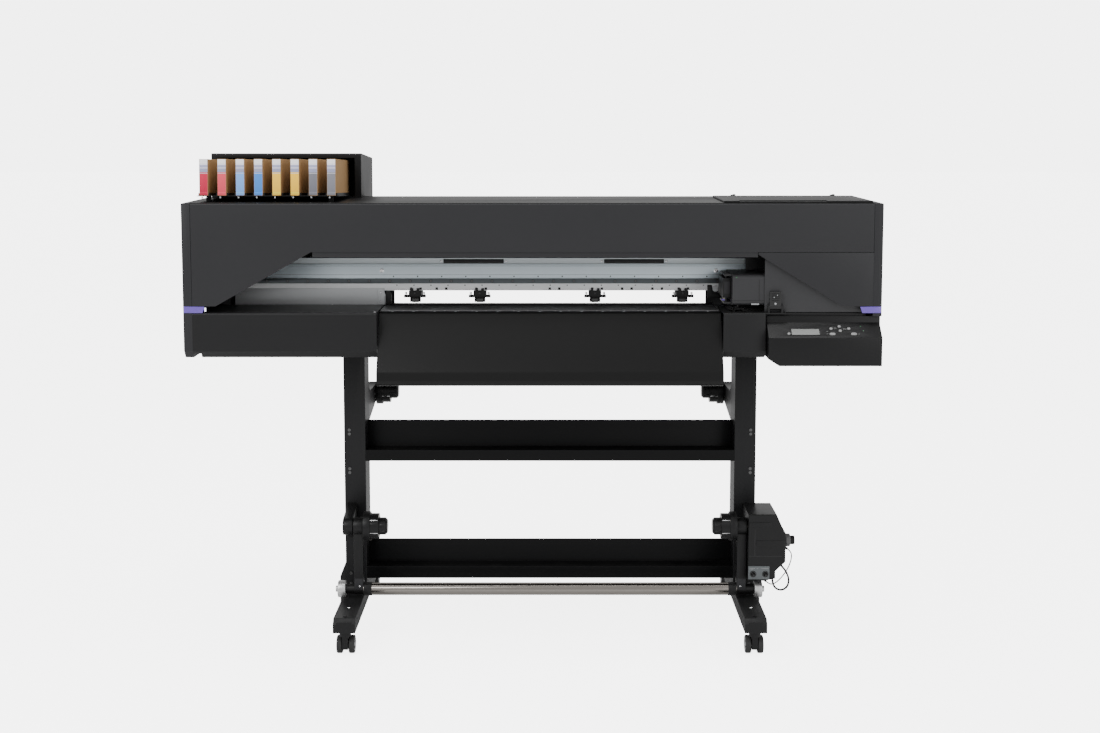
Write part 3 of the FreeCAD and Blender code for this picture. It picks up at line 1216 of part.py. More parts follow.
def ink_housing():
    """Open-fronted housing on the deck, with the tilted tray and its dividing ribs."""
    slope = DECK_DROP / (REAR - DECK_REAR)
    floor = TOP + SEAT
    outline = [(INK_FRONT, floor), (DECK_REAR, floor),
               (INK_REAR, floor - slope * (INK_REAR - DECK_REAR)),
               (INK_REAR, INK_REAR_Z), (INK_FRONT, INK_FRONT_Z)]
    shell = prism_x(outline, INK_X0, INK_X1)
    shell = round_edges(shell, 6.0, lambda e: e.CenterOfMass.z > INK_REAR_Z - 1 and runs_along(V(1, 0,
                                                                                                 0))(e))
    mouth = block(INK_X0 + INK_SIDE_WALL, INK_X1 - INK_SIDE_WALL, INK_FRONT - 5,
                  PACK_FRONT + PACK_LENGTH + 25,
                  floor + 3, INK_FRONT_Z - 14)
    hollow = prism_x([(PACK_FRONT + PACK_LENGTH + 20, floor + INK_WALL),
                      (INK_REAR - INK_WALL, floor - 20 + INK_WALL),
                      (INK_REAR - INK_WALL, INK_REAR_Z - INK_WALL), (PACK_FRONT + PACK_LENGTH + 20,
                                                                     INK_REAR_Z - 4)],
                     INK_X0 + INK_WALL, INK_X1 - INK_WALL)
    first = pack_x(0) - 8
    last = pack_x(PACK_COUNT - 1) + PACK_WIDTH + 8
    tray = tilted(block(first, last, PACK_FRONT + 6, PACK_FRONT + PACK_LENGTH + 4,
                        PACK_FRONT_Z - SEAT - INK_TRAY_T,
                        PACK_FRONT_Z - SEAT))
    ribs = []
    for i in range(PACK_COUNT):
        for x in (pack_x(i) - SLIDE_GAP - PACK_RIB, pack_x(i) + PACK_WIDTH + SLIDE_GAP):
            ribs.append(tilted(block(x, x + PACK_RIB, PACK_FRONT + 6, PACK_FRONT + PACK_LENGTH,
                                     PACK_FRONT_Z - SEAT - 1, PACK_FRONT_Z + PACK_RIB_HEIGHT)))
    foot_y = PACK_FRONT + 30
    feet = [block(x, x + 12, foot_y, foot_y + 14, floor,
                  PACK_FRONT_Z - SEAT - INK_TRAY_T) for x in (first + 20, last - 32)]
    lugs = block(first, last, INK_FRONT, INK_FRONT + 30, floor, floor + 5)
    return join(shell.cut([mouth, hollow]), tray, lugs, *ribs, *feet)


# ================================================================ rolls and tension bar
def flange(x0, side, y, z, tail):
    """Core flange: spindle, stop ring, three-inch step and two-inch tip; side is the way it points."""
    stop = x0 + side * STOP_T
    step = stop + side * CORE3_LENGTH
    neck = step + side * (CORE2_LENGTH - FLANGE_CHAMFER)
    tip = step + side * CORE2_LENGTH
    parts = [rod_x(min(x0, stop), max(x0, stop), y, z, STOP_R),
             rod_x(min(stop, step), max(stop, step), y, z, CORE3_R),
             rod_x(min(step, neck), max(step, neck), y, z, CORE2_R),
             cone_x(neck, tip, y, z, CORE2_R, CORE2_R - FLANGE_CHAMFER)]
    end = x0 - side * tail
    parts.append(rod_x(min(end, x0), max(end, x0), y, z, SPINDLE_R))
    return join(*parts)


def feed_flanges():
    """Rear flanges for the supply roll."""
    left = flange(FEED_FACE + COVER_GAP, 1, FEED_Y, FEED_Z, FEED_ARM_T)
    return group(left, mirrored(left))


def takeup_flanges():
    """Front flanges for the take-up roll; the right one is driven."""
    left = flange(TAKE_FACE + SWING_GAP, 1, TAKE_Y, TAKE_Z, SWING_GAP + TAKE_ARM_T + SWING_GAP + 20)
    right = mirrored(flange(TAKE_FACE + SWING_GAP, 1, TAKE_Y, TAKE_Z,
                            SWING_GAP + TAKE_ARM_T + SWING_GAP + 50))
    return group(left, right)


def feed_arm():
    """Left rear roll bracket on the leg's back."""
    x0 = FEED_FACE - FEED_ARM_T
    outline = [(LEG_REAR + SEAT, FEED_Z - 60), (LEG_REAR + SEAT, FEED_Z + 50),
               (LEG_REAR + 40, FEED_Z + 30),
               (FEED_Y, FEED_Z + FEED_ARM_R - 4), (FEED_Y, FEED_Z - FEED_ARM_R)]
    arm = join(prism_x(outline, x0, FEED_FACE), rod_x(x0, FEED_FACE, FEED_Y, FEED_Z, FEED_ARM_R),
               block(LEG_LEFT, FEED_FACE, LEG_REAR + SEAT, LEG_REAR + 6, FEED_Z - 70, FEED_Z + 60))
    return arm.cut(rod_x(x0 - 60, FEED_FACE + 1, FEED_Y, FEED_Z, SPINDLE_R + RUNNING))


def roll_brackets():
    """Rear brackets on both legs and the left take-up bracket."""
    left = feed_arm()
    x1 = SWING_OUT - SWING_GAP
    x0 = x1 - TAKE_BRACKET_T
    outline = [(LEG_FRONT - SEAT, TAKE_Z - 60), (LEG_FRONT - SEAT, TAKE_Z + 45),
               (TAKE_Y, TAKE_Z + TAKE_HUB_R),
               (TAKE_Y, TAKE_Z - TAKE_HUB_R)]
    take = join(prism_x(outline, x0, x1), rod_x(x0, x1, TAKE_Y, TAKE_Z, TAKE_HUB_R))
    take = take.cut(rod_x(x0 - 1, x1 + 1, TAKE_Y, TAKE_Z, SPINDLE_R + RUNNING))
    return group(left, mirrored(left), take)


def swing_end():
    """Left swing arm with its collar, weight and end knob."""
    bar_z = TAKE_Z - SWING_R
    half = SWING_ARM_WIDTH / 2
    arm = join(rod_x(SWING_OUT, TAKE_FACE, TAKE_Y, TAKE_Z, TAKE_HUB_R),
               block(SWING_OUT, TAKE_FACE, TAKE_Y - half, TAKE_Y + half, bar_z, TAKE_Z),
               rod_x(SWING_OUT, TAKE_FACE, TAKE_Y, bar_z, half))
    collar_end = SWING_OUT - COLLAR_LENGTH
    weight_end = collar_end - WEIGHT_LENGTH
    weight = rod_x(weight_end, collar_end, TAKE_Y, bar_z, WEIGHT_R)
    weight = weight.makeChamfer(1.5, [e for e in weight.Edges if isinstance(e.Curve, Part.Circle)])
    return join(arm, rod_x(collar_end, SWING_OUT, TAKE_Y, bar_z, COLLAR_R), weight,
                rod_x(weight_end - END_KNOB_LENGTH, weight_end, TAKE_Y, bar_z, END_KNOB_R))


def tension_bar():
    """Steel bar between two swing arms, weighted at both ends."""
    bar_z = TAKE_Z - SWING_R
    end = swing_end()
    bar = rod_x(TAKE_FACE - 1, 2 * MEDIA_CENTRE - TAKE_FACE + 1, TAKE_Y, bar_z, BAR_R)
    bore = rod_x(TAKE_FACE + 20, 2 * MEDIA_CENTRE - TAKE_FACE - 20, TAKE_Y, bar_z, BAR_R - BAR_WALL)
    hole = rod_x(SWING_OUT - 5, 2 * MEDIA_CENTRE - SWING_OUT + 5, TAKE_Y, TAKE_Z, SPINDLE_R + RUNNING)
    return join(end, mirrored(end), bar).cut([hole, bore])


def motor_unit():
    """Take-up motor housing, its switch plate and the lead glands."""
    x0 = UNIT_X0
    x1 = x0 + UNIT_WIDTH
    outline = [(x0, UNIT_BOTTOM), (x0, UNIT_TOP), (x1 - 27, UNIT_TOP), (x1 - 20, UNIT_TOP - 16),
               (x1 - 11, UNIT_TOP - 36),
               (x1, UNIT_TOP - 56), (x1, UNIT_TOP - 142), (x1 - 29, UNIT_TOP - 170), (x1 - 29,
                                                                                      UNIT_TOP - 192),
               (x1 - 60, UNIT_BOTTOM)]
    body = prism_y(outline, UNIT_FRONT, LEG_FRONT - SEAT)
    body = round_edges(body, 4.0, lambda e: e.CenterOfMass.y < UNIT_FRONT + 0.01)
    bore = rod_x(x0 - 1, x0 + UNIT_BORE_DEPTH, TAKE_Y, TAKE_Z, SPINDLE_R + RUNNING)
    boss = rod_x(x1 - 3, x1 + 2.5, TAKE_Y, KNOB_Z, KNOB_SHAFT_R + 6)
    knob_bore = rod_x(x1 - 20, x1 + 5, TAKE_Y, KNOB_Z, KNOB_SHAFT_R + RUNNING)
    plate = block(x0 + SWITCH_X0, x0 + SWITCH_X1, UNIT_FRONT - SWITCH_T, UNIT_FRONT, SWITCH_Z0,
                  SWITCH_Z1)
    sockets = [Part.makeSphere(TOGGLE_PIVOT + TOGGLE_GAP,
                               V(x0 + x, UNIT_FRONT, TOGGLE_Z)) for x in TOGGLE_X]
    mouths = [rod_y(x0 + x, UNIT_FRONT - 4, UNIT_FRONT, TOGGLE_Z, TOGGLE_PIVOT + 0.6) for x in TOGGLE_X]
    out = V(*CABLE_ROUTE[1]) - V(*CABLE_ROUTE[0])
    cable_gland = Part.makeCylinder(GLAND_R, 12, V(*CABLE_ROUTE[0]) - out.normalize() * 12, out)
    lead_out = V(*LEAD_ROUTE[1]) - V(*LEAD_ROUTE[0])
    lead_gland = Part.makeCylinder(GLAND_R - 2, 12, V(*LEAD_ROUTE[0]) - lead_out.normalize() * 12,
                                   lead_out)
    cable_in = V(*CABLE_ROUTE[-2]) - V(*CABLE_ROUTE[-1])
    return_gland = Part.makeCylinder(GLAND_R, 12, V(*CABLE_ROUTE[-1]) - cable_in.normalize() * 12,
                                     cable_in)
    lead_in = V(*LEAD_ROUTE[-2]) - V(*LEAD_ROUTE[-1])
    lead_return = Part.makeCylinder(GLAND_R - 2, 12, V(*LEAD_ROUTE[-1]) - lead_in.normalize() * 12,
                                    lead_in)
    body = join(body, boss, plate, cable_gland, lead_gland, return_gland, lead_return)
    return body.cut([bore, knob_bore] + sockets + mouths)


def toggle(index):
    """One switch toggle on its ball pivot."""
    x = UNIT_X0 + TOGGLE_X[index]
    ball = Part.makeSphere(TOGGLE_PIVOT, V(x, UNIT_FRONT, TOGGLE_Z))
    stick = rod_y(x, UNIT_FRONT - TOGGLE_LENGTH, UNIT_FRONT, TOGGLE_Z, TOGGLE_R)
    return join(ball, stick)


def limiter_knob():
    """Torque limiter: spindle, ring and cap."""
    x = UNIT_X0 + UNIT_WIDTH + 2.5 + KNOB_RING_GAP
    ring = rod_x(x, x + KNOB_RING_LENGTH, TAKE_Y, KNOB_Z, KNOB_RING_R)
    ring = ring.makeChamfer(1.5, [e for e in ring.Edges if isinstance(e.Curve, Part.Circle)])
    cap = rod_x(x + KNOB_RING_LENGTH, x + KNOB_RING_LENGTH + KNOB_CAP_LENGTH, TAKE_Y, KNOB_Z, KNOB_CAP_R)
    return join(ring, cap, rod_x(x - 18, x + 1, TAKE_Y, KNOB_Z, KNOB_SHAFT_R))


# ================================================================ loose leads
def lead_tube(name, route, radius):
    """A tube along straight runs joined by tangent arcs; prints its radii and checks its volume."""
    points = [V(*p) for p in route]
    edges = []
    radii = []
    start = points[0]
    for before, corner, after in zip(points, points[1:], points[2:]):
        turn = (corner - before).getAngle(after - corner)
        run = min(corner.distanceToPoint(before), corner.distanceToPoint(after))
        bend = ARC_SHARE * run / math.tan(turn / 2)
        a, middle, b = corner_arc(before, corner, after, bend)
        edges.append(Part.LineSegment(start, a).toShape())
        edges.append(Part.Arc(a, middle, b).toShape())
        radii.append(round(bend, 1))
        start = b
    edges.append(Part.LineSegment(start, points[-1]).toShape())
    path = Part.Wire(edges)
    disc = Part.Wire([Part.makeCircle(radius, points[0], points[1] - points[0])])
    tube = path.makePipeShell([disc], True, False)
    expected = math.pi * radius ** 2 * path.Length
    print(name, "length", round(path.Length, 1), "radii", radii, "volume share",
          round(tube.Volume / expected, 4))
    return tube


# ================================================================ fasteners
def screw(x, y, z, side):
    """Pan-head screw along Y, its head towards side -1 (front) or 1 (rear)."""
    head_end = y + side * SCREW_HEAD_T
    shank_end = y - side * SCREW_LENGTH
    head = rod_y(x, min(y, head_end), max(y, head_end), z, SCREW_HEAD_R)
    drive_end = head_end - side * 1.2
    drive = rod_y(x, min(drive_end, head_end), max(drive_end, head_end), z, 1.5)
    return join(head.cut(drive), rod_y(x, min(y, shank_end), max(y, shank_end), z, SCREW_R))


def fasteners():
    """Screws of the legs and of the back cover."""
    front = [screw(x, LEG_FRONT, z, -1) for x in LEG_SCREW_X for z in LEG_SCREW_Z]
    back = [screw(x, REAR, z, 1) for x, z in back_screw_places()]
    return group(*front, *back)


# ================================================================ output
def all_nodes():
    """Every node's name and shape."""
    nodes = {
        "stand_legs": stand_legs(),
        "stand_feet": stand_feet(),
        "cross_beams": cross_beams(),
        "base_frame": base_frame(),
        "rail_beam": rail_beam(),
        "carriage_drive": carriage_drive(),
        "platen": platen(),
        "grit_roller": grit_roller(),
        "pinch_arms": pinch_arms(),
        "pinch_wheels": pinch_wheels(),
        "media_guides": media_guides(),
        "carriage": carriage(),
        "carriage_sliders": carriage_sliders(),
        "cutter_head": cutter_head(),
        "capping_station": capping_station(),
        "front_cover": front_cover(),
        "hood_top": hood_top(),
        "top_lid": top_lid(),
        "back_cover": back_cover(),
        "end_caps": end_caps(),
        "accent_stripes": accent_stripes(),
        "lower_left_cover": lower_left_cover(),
        "right_cover": right_cover(),
        "inner_cover": inner_cover(),
        "lower_right_cover": lower_right_cover(),
        "clamp_lever": clamp_lever(),
        "panel_housing": panel_housing(),
        "ink_housing": ink_housing(),
        "roll_brackets": roll_brackets(),
        "feed_flanges": feed_flanges(),
        "takeup_flanges": takeup_flanges(),
        "tension_bar": tension_bar(),
        "motor_unit": motor_unit(),
        "toggle_1": toggle(0),
        "toggle_2": toggle(1),
        "limiter_knob": limiter_knob(),
        "takeup_cable": lead_tube("takeup_cable", CABLE_ROUTE, CABLE_R),
        "sensor_lead": lead_tube("sensor_lead", LEAD_ROUTE, LEAD_R),
        "fasteners": fasteners(),
    }
    for name in KEYS:
        nodes[name] = panel_key(name)
    for index in range(PACK_COUNT):
        nodes[f"ink_pack_{index + 1}"] = ink_pack(index)
    for place, x, y, trail in caster_places():
        nodes[f"caster_fork_{place}"] = caster_fork(x, y, trail)
        nodes[f"caster_wheels_{place}"] = caster_wheels(x, y, trail)
    return nodes


os.makedirs("parts", exist_ok=True)
for node, shape in all_nodes().items():
    shape.exportStep(f"parts/{node}.step")
    if not shape.isValid():
        print("not valid:", node)
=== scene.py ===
"""Looks of the wide-format printer cutter: meshes, finishes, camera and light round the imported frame."""

import json
import logging
import math
from dataclasses import dataclass, field
from enum import Enum
from typing import Callable, Iterable, Optional, Sequence

import bmesh
import bpy
from mathutils import Matrix, Vector

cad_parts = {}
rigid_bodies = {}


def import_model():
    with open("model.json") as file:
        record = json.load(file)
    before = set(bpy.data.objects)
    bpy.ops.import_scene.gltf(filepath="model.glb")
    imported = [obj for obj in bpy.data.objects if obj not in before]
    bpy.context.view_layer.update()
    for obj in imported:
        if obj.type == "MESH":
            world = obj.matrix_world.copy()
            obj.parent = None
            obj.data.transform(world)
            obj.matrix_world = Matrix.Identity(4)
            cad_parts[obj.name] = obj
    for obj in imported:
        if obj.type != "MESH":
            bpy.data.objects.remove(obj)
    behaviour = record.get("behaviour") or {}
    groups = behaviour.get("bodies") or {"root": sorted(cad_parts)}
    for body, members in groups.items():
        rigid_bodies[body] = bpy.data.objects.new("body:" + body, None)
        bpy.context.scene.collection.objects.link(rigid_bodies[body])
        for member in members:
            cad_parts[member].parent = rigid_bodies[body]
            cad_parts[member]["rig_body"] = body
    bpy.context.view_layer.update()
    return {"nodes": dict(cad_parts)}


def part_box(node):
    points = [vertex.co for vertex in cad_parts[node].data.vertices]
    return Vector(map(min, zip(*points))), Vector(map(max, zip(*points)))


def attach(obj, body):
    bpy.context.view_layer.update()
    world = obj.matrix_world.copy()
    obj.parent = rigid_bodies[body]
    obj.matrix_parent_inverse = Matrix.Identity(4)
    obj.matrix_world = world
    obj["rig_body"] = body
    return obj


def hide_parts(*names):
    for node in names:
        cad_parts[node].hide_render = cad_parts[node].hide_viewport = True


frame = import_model()
LOG = logging.getLogger("printer_cutter")
ROOT = "body_and_stand"
ORIGIN = (0.0, 0.0, 0.0)
MEDIA_MIDDLE = 0.0495

Point = tuple[float, float, float]
Outline = Sequence[tuple[float, float]]


class Axis(Enum):
    """A direction of the frame."""

    X = 0
    Y = 1
    Z = 2

    def others(self) -> tuple[int, int]:
        """Indices of the two other axes, in order.

        Returns:
            The two indices.
        """
        return tuple(i for i in range(3) if i != self.value)


# ---------------------------------------------------------------- node groups
class Effects:
    """Shared shader node groups, each built once."""

    _made: dict[str, bpy.types.NodeTree] = {}

    @classmethod
    def group(cls, name: str, inputs: dict[str, float],
              outputs: Sequence[str]) -> tuple[bpy.types.NodeTree, bool]:
        """Finds or starts a node group.

        Args:
            name: the group's name.
            inputs: input names with their default values.
            outputs: names of the value outputs.

        Returns:
            The group, and whether its nodes are still to be made.
        """
        if name in cls._made:
            return cls._made[name], False
        tree = bpy.data.node_groups.new(name, "ShaderNodeTree")
        for label, value in inputs.items():
            socket = tree.interface.new_socket(name=label, in_out="INPUT", socket_type="NodeSocketFloat")
            socket.default_value = value
        for label in outputs:
            tree.interface.new_socket(name=label, in_out="OUTPUT", socket_type="NodeSocketFloat")
        tree.nodes.new("NodeGroupInput").name = "in"
        tree.nodes.new("NodeGroupOutput").name = "out"
        cls._made[name] = tree
        return tree, True

    @staticmethod
    def math(tree: bpy.types.NodeTree, operation: str, a: object, b: object = None,
             clamp: bool = False) -> object:
        """Adds a Math node.

        Args:
            tree: the tree to add to.
            operation: the node's operation.
            a: first socket or number.
            b: second socket or number.
            clamp: whether the result stays within 0 and 1.

        Returns:
            The node's output socket.
        """
        node = tree.nodes.new("ShaderNodeMath")
        node.operation = operation
        node.use_clamp = clamp
        for index, value in enumerate((a, b)):
            if value is None:
                continue
            if isinstance(value, (int, float)):
                node.inputs[index].default_value = value
            else:
                tree.links.new(value, node.inputs[index])
        return node.outputs[0]

    @staticmethod
    def noise(tree: bpy.types.NodeTree, vector: object, scale: object, detail: float = 3.0) -> object:
        """Adds a Noise node on a vector and returns its value socket.

        Args:
            tree: node tree that the nodes go in.
            vector: socket of the place to read.
            scale: frequency, per metre.
            detail: octaves.

        Returns:
            The value socket.
        """
        node = tree.nodes.new("ShaderNodeTexNoise")
        node.inputs["Detail"].default_value = detail
        tree.links.new(vector, node.inputs["Vector"])
        if isinstance(scale, (int, float)):
            node.inputs["Scale"].default_value = scale
        else:
            tree.links.new(scale, node.inputs["Scale"])
        return node.outputs["Fac"]

    @staticmethod
    def place(tree: bpy.types.NodeTree) -> object:
        """Adds the object-space position and returns its socket.

        Args:
            tree: node tree that the nodes go in.

        Returns:
            The position socket.
        """
        return tree.nodes.new("ShaderNodeTexCoord").outputs["Object"]

    @classmethod
    def mottle(cls) -> bpy.types.NodeTree:
        """Slow blotches of handling and cleaning: value 0 to 1.

        Returns:
            The node group.
        """
        tree, new = cls.group("mottle", {"Scale": 6.0, "Fine": 60.0}, ("Value",))
        if new:
            give, take = tree.nodes["in"].outputs, tree.nodes["out"].inputs
            place = cls.place(tree)
            slow = cls.noise(tree, place, give["Scale"], 4.0)
            fine = cls.noise(tree, place, give["Fine"], 2.0)
            mixed = cls.math(tree, "MULTIPLY_ADD", fine, 0.35)
            tree.links.new(cls.math(tree, "MULTIPLY", slow, 0.65), mixed.node.inputs[2])
            tree.links.new(mixed, take["Value"])
        return tree

    @classmethod
    def grain(cls) -> bpy.types.NodeTree:
        """Moulded or powder-coated grain: height 0 to 1.

        Returns:
            The node group.
        """
        tree, new = cls.group("grain", {"Scale": 900.0}, ("Height",))
        if new:
            give, take = tree.nodes["in"].outputs, tree.nodes["out"].inputs
            place = cls.place(tree)
            cells = tree.nodes.new("ShaderNodeTexVoronoi")
            tree.links.new(place, cells.inputs["Vector"])
            tree.links.new(give["Scale"], cells.inputs["Scale"])
            noise = cls.noise(tree, place, give["Scale"], 2.0)
            total = cls.math(tree, "ADD", cells.outputs["Distance"], noise)
            tree.links.new(cls.math(tree, "MULTIPLY", total, 0.5), take["Height"])
        return tree

    @classmethod
    def brush(cls, axis: Axis) -> bpy.types.NodeTree:
        """Fine lines along an axis: height 0 to 1.

        Args:
            axis: axis that the lines run along.

        Returns:
            The node group.
        """
        tree, new = cls.group("brush_" + axis.name.lower(), {"Scale": 700.0}, ("Height",))
        if new:
            give, take = tree.nodes["in"].outputs, tree.nodes["out"].inputs
            mapping = tree.nodes.new("ShaderNodeMapping")
            scale = [1.0, 1.0, 1.0]
            scale[axis.value] = 0.02
            mapping.inputs["Scale"].default_value = scale
            tree.links.new(cls.place(tree), mapping.inputs["Vector"])
            lines = cls.noise(tree, mapping.outputs["Vector"], give["Scale"], 3.0)
            tree.links.new(lines, take["Height"])
        return tree

    @classmethod
    def wear_and_highlight(cls) -> bpy.types.NodeTree:
        """Lightened edges, partly rubbed wear and partly a painted highlight: mask 0 to 1, from how far a
        rounded edge would turn the surface there.

        Returns:
            The node group.
        """
        tree, new = cls.group("edge_wear", {"Amount": 0.5, "Scale": 90.0}, ("Mask",))
        if new:
            give, take = tree.nodes["in"].outputs, tree.nodes["out"].inputs
            geometry = tree.nodes.new("ShaderNodeNewGeometry")
            rounded = tree.nodes.new("ShaderNodeBevel")
            rounded.samples = 3
            rounded.inputs["Radius"].default_value = 0.0016
            turn = tree.nodes.new("ShaderNodeVectorMath")
            turn.operation = "DOT_PRODUCT"
            tree.links.new(rounded.outputs["Normal"], turn.inputs[0])
            tree.links.new(geometry.outputs["Normal"], turn.inputs[1])
            # Where the bevel turns the normal the edge is lightened: a painted highlight, broken up by
            # patchy noise for rubbed wear.
            sharp = cls.math(tree, "SUBTRACT", 0.985, turn.outputs["Value"])
            sharp = cls.math(tree, "MULTIPLY", sharp, 7.0, True)
            patchy = cls.noise(tree, cls.place(tree), give["Scale"], 4.0)
            patchy = cls.math(tree, "MULTIPLY", patchy, 1.6, True)
            mask = cls.math(tree, "MULTIPLY", sharp, patchy)
            tree.links.new(cls.math(tree, "MULTIPLY", mask, give["Amount"], True), take["Mask"])
        return tree

    @classmethod
    def dust(cls) -> bpy.types.NodeTree:
        """Thin dust on faces that look up: mask 0 to 1.

        Returns:
            The node group.
        """
        tree, new = cls.group("dust", {"Amount": 0.2, "Scale": 25.0}, ("Mask",))
        if new:
            give, take = tree.nodes["in"].outputs, tree.nodes["out"].inputs
            geometry = tree.nodes.new("ShaderNodeNewGeometry")
            parts = tree.nodes.new("ShaderNodeSeparateXYZ")
            tree.links.new(geometry.outputs["Normal"], parts.inputs[0])
            up = cls.math(tree, "SUBTRACT", parts.outputs["Z"], 0.55)
            up = cls.math(tree, "MULTIPLY", up, 2.2, True)
            patchy = cls.noise(tree, cls.place(tree), give["Scale"], 5.0)
            mask = cls.math(tree, "MULTIPLY", up, patchy)
            tree.links.new(cls.math(tree, "MULTIPLY", mask, give["Amount"], True), take["Mask"])
        return tree


# ---------------------------------------------------------------- finishes
@dataclass(frozen=True)
class Finish:
    """One surface finish, as the values of its material."""

    name: str
    slot: str
    color: tuple[float, float, float]
    roughness: float = 0.5
    spread: float = 0.12
    tint: float = 0.12
    metallic: float = 0.0
    coat: float = 0.0
    specular: float = 0.5
    grain: float = 900.0
    bump: float = 0.12
    depth: float = 0.0002
    brush: Optional[Axis] = None
    # Edge mask amount and edge colour: partly rubbed wear, partly a painted highlight along edges.
    wear_and_highlight: float = 0.25
    wear_and_highlight_color: tuple[float, float, float] = (0.25, 0.25, 0.25)
    dust: float = 0.08
    glow: float = 0.0

    def use_group(self, tree: bpy.types.NodeTree, group: bpy.types.NodeTree,
                  **values: float) -> bpy.types.Node:
        """Places a shared group in the material with its own values.

        Args:
            tree: node tree that the nodes go in.
            group: shared group to place.
            **values: values of the group's inputs.

        Returns:
            The group node.
        """
        node = tree.nodes.new("ShaderNodeGroup")
        node.node_tree = group
        for label, value in values.items():
            node.inputs[label].default_value = value
        return node

    def mix(self, tree: bpy.types.NodeTree, factor: object, a: object, b: object) -> object:
        """Mixes two colours by a factor socket and returns the result's socket.

        Args:
            tree: node tree that the nodes go in.
            factor: share of the second colour.
            a: first colour.
            b: second colour.

        Returns:
            The colour socket.
        """
        node = tree.nodes.new("ShaderNodeMix")
        node.data_type = "RGBA"
        tree.links.new(factor, node.inputs["Factor"])
        for index, value in ((6, a), (7, b)):
            if isinstance(value, tuple):
                node.inputs[index].default_value = (*value, 1.0)
            else:
                tree.links.new(value, node.inputs[index])
        return node.outputs[2]

    def material(self) -> bpy.types.Material:
        """The finish's material, built on first use.

        Returns:
            The material.
        """
        found = bpy.data.materials.get(self.name)
        if found:
            return found
        made = bpy.data.materials.new(self.name)
        made.use_nodes = True
        tree = made.node_tree
        shader = tree.nodes["Principled BSDF"]
        shader.inputs["Metallic"].default_value = self.metallic
        shader.inputs["Specular IOR Level"].default_value = self.specular
        shader.inputs["Coat Weight"].default_value = self.coat
        shader.inputs["Coat Roughness"].default_value = 0.25
        mottle = self.use_group(tree, Effects.mottle(), Scale=5.0, Fine=70.0).outputs["Value"]
        wear_and_highlight = self.use_group(tree, Effects.wear_and_highlight(), Amount=self.wear_and_highlight).outputs["Mask"]
        dust = self.use_group(tree, Effects.dust(), Amount=self.dust).outputs["Mask"]
        dark = tuple(c * (1.0 - self.tint) for c in self.color)
        light = tuple(min(1.0, c * (1.0 + self.tint)) for c in self.color)
        color = self.mix(tree, mottle, dark, light)
        color = self.paint(tree, color)
        # Edges take the lighter edge colour: rubbed wear and a painted highlight.
        color = self.mix(tree, wear_and_highlight, color, self.wear_and_highlight_color)
        color = self.mix(tree, dust, color, (0.28, 0.275, 0.26))
        tree.links.new(color, shader.inputs["Base Color"])
        rough = Effects.math(tree, "MULTIPLY_ADD", mottle, 2.0 * self.spread, True)
        rough.node.inputs[2].default_value = self.roughness - self.spread
        rough = Effects.math(tree, "ADD", rough, Effects.math(tree, "MULTIPLY", dust, 0.5), True)
        tree.links.new(rough, shader.inputs["Roughness"])
        texture = Effects.brush(self.brush) if self.brush else Effects.grain()
        height = self.use_group(tree, texture, Scale=self.grain).outputs["Height"]
        bump = tree.nodes.new("ShaderNodeBump")
        bump.inputs["Strength"].default_value = self.bump
        bump.inputs["Distance"].default_value = self.depth
        tree.links.new(height, bump.inputs["Height"])
        tree.links.new(bump.outputs["Normal"], shader.inputs["Normal"])
        if self.glow:
            shader.inputs["Emission Color"].default_value = (*self.color, 1.0)
            shader.inputs["Emission Strength"].default_value = self.glow
        return made

    def paint(self, tree: bpy.types.NodeTree, color: object) -> object:
        """Adds print or marks over the base colour; a plain finish has none.

        Args:
            tree: node tree that the nodes go in.
            color: socket of the base colour.

        Returns:
            Socket of the colour to use.
        """
        return color


@dataclass(frozen=True)
class BandedFinish(Finish):
    """A finish printed in level bands up one axis, each with its own colour."""

    bands: tuple[tuple[float, tuple[float, float, float]], ...] = ()
    axis: Axis = Axis.Z
    tilt: float = 0.0

    def paint(self, tree: bpy.types.NodeTree, color: object) -> object:
        """Lays each band over the ones below it.

        Args:
            tree: node tree that the nodes go in.
            color: socket of the base colour.

        Returns:
            Socket of the colour to use.
        """
        parts = tree.nodes.new("ShaderNodeSeparateXYZ")
        tree.links.new(Effects.place(tree), parts.inputs[0])
        height = Effects.math(tree, "MULTIPLY_ADD", parts.outputs["Y"], self.tilt)
        tree.links.new(parts.outputs[self.axis.name], height.node.inputs[2])
        for start, shade in self.bands:
            above = Effects.math(tree, "GREATER_THAN", height, start)
            color = self.mix(tree, above, color, shade)
        return color


@dataclass(frozen=True)
class DotFinish(Finish):
    """A finish with a regular dot matrix, for the display."""

    pitch: float = 0.0016
    dark: tuple[float, float, float] = (0.1, 0.12, 0.1)

    def paint(self, tree: bpy.types.NodeTree, color: object) -> object:
        """Darkens short runs of dots in rows, as an idle display shows.

        Args:
            tree: node tree that the nodes go in.
            color: socket of the base colour.

        Returns:
            Socket of the colour to use.
        """
        place = Effects.place(tree)
        rows = tree.nodes.new("ShaderNodeTexBrick")
        rows.inputs["Scale"].default_value = 1.0
        rows.inputs["Brick Width"].default_value = self.pitch * 2.2
        rows.inputs["Row Height"].default_value = self.pitch * 3.0
        rows.inputs["Mortar Size"].default_value = self.pitch * 0.5
        tree.links.new(place, rows.inputs["Vector"])
        shown = Effects.math(tree, "GREATER_THAN", Effects.noise(tree, place, 260.0, 0.0), 0.52)
        solid = Effects.math(tree, "SUBTRACT", 1.0, rows.outputs["Fac"])
        mask = Effects.math(tree, "MULTIPLY", Effects.math(tree, "MULTIPLY", shown, solid), 0.55)
        return self.mix(tree, mask, color, self.dark)


